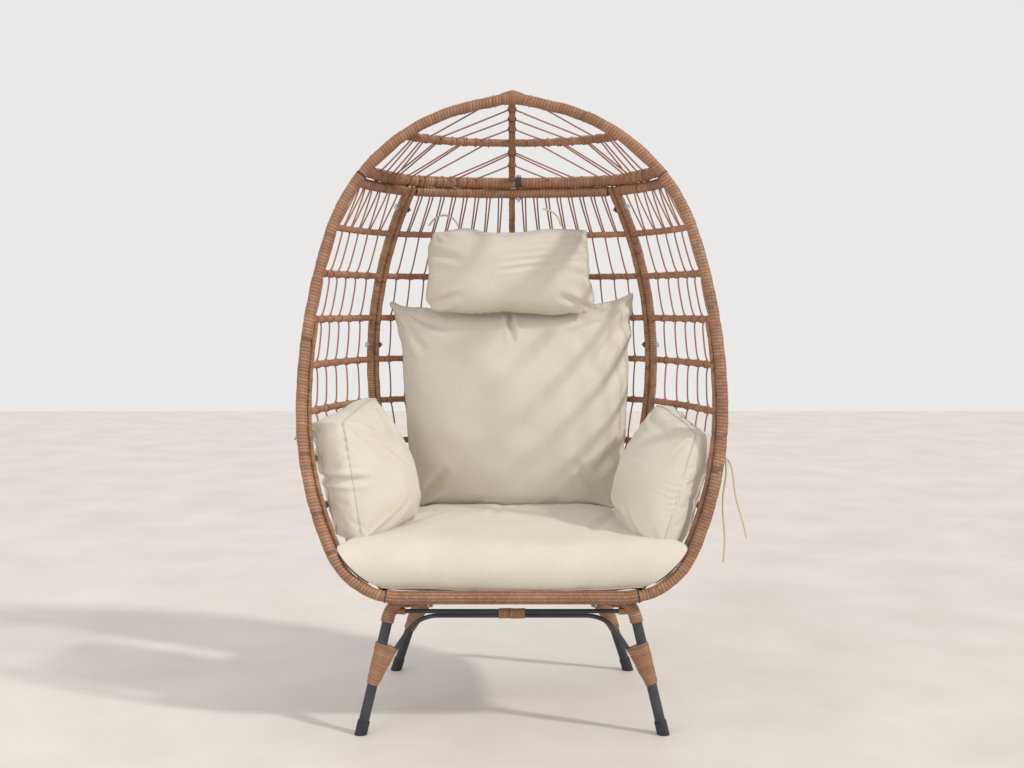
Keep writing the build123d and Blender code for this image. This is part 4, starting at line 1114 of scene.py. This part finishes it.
cushion(
    "left_pillow_cover", "left_pillow", (14, 60, 60), boxed(LEFT_CORNERS, LEFT_BULGES), 0.012,
    creases=[((-0.470, 0, 0.578), (-0.330, 0, 0.582), 0.007, 0.010, 1),
             ((-0.40, -0.23, 0.700), (0, -0.14, 0.60), 0.011, 0.006, 0),
             ((0, -0.02, 0.725), (0, -0.16, 0.655), 0.010, 0.006, 0),
             ((0, -0.22, 0.69), (0, -0.21, 0.56), 0.010, 0.005, 0),
             ((0, -0.24, 0.452), (0, -0.18, 0.53), 0.008, 0.006, 0),
             ((0, -0.03, 0.47), (0, -0.12, 0.52), 0.011, 0.006, 0)],
    pressure=3.0, grow=0.02, seam_axis=0, seam_levels=(0, 1), gather=0.0026, reach=0.10,
)
cushion(
    "right_pillow_cover", "right_pillow", (14, 60, 60), boxed(RIGHT_CORNERS, RIGHT_BULGES), 0.012,
    creases=[((0, 0.05, 0.716 - 0.019 * i), (0, -0.21, 0.676 - 0.013 * i), 0.0060, 0.0048, 0) for i in range(5)]
    + [((0, -0.02, 0.50), (0, -0.22, 0.465), 0.012, 0.006, 0),
       ((0, -0.25, 0.43), (0, -0.20, 0.52), 0.009, 0.006, 0)],
    pressure=3.0, grow=0.02, seam_axis=0, seam_levels=(0, 1), gather=0.0026, reach=0.10,
)

# ---- room and light --------------------------------------------------------------------
floor_mesh = bpy.data.meshes.new("floor")
floor_mesh.from_pydata([(-9, -9, 0), (9, -9, 0), (9, 9, 0), (-9, 9, 0)], [], [(0, 1, 2, 3)])
floor_material, floor_shader, floor_node, floor_link = new_material("pale_floor")
grain = floor_node("ShaderNodeTexNoise", {"Vector": place(floor_node), "Scale": 3.0, "Detail": 6.0}).outputs["Fac"]
floor_link.new(ramp(floor_node, grain, [(0.3, (0.62, 0.57, 0.53)), (0.7, (0.70, 0.65, 0.61))]),
               floor_shader.inputs["Base Color"])
floor_shader.inputs["Roughness"].default_value = 0.6
floor_mesh.materials.append(floor_material)
floor = bpy.data.objects.new("floor", floor_mesh)
bpy.context.scene.collection.objects.link(floor)

world = bpy.data.worlds.new("studio")
bpy.context.scene.world = world
world.use_nodes = True
world.node_tree.nodes["Background"].inputs["Color"].default_value = (0.96, 0.95, 0.94, 1)
world.node_tree.nodes["Background"].inputs["Strength"].default_value = 0.86


def lamp(name, kind, energy, way, at=(0, 0, 0), size=1.0, colour=(1, 1, 1)):
    """A lamp that shines along a direction."""
    data = bpy.data.lights.new(name, kind)
    data.energy = energy
    data.color = colour
    if kind == "SUN":
        data.angle = radians(size)
    else:
        data.shape = "DISK"
        data.size = size
    light = bpy.data.objects.new(name, data)
    light.location = at
    light.rotation_euler = Vector(way).to_track_quat("-Z", "Y").to_euler()
    bpy.context.scene.collection.objects.link(light)


lamp("key", "SUN", 1.75, (-0.72, 0.38, -0.62), size=4.5, colour=(1.0, 0.97, 0.93))
lamp("fill", "AREA", 35, (0.6, 0.75, -0.3), at=(-2.2, -3.0, 2.0), size=2.5)

bpy.context.scene.view_settings.view_transform = "Standard"
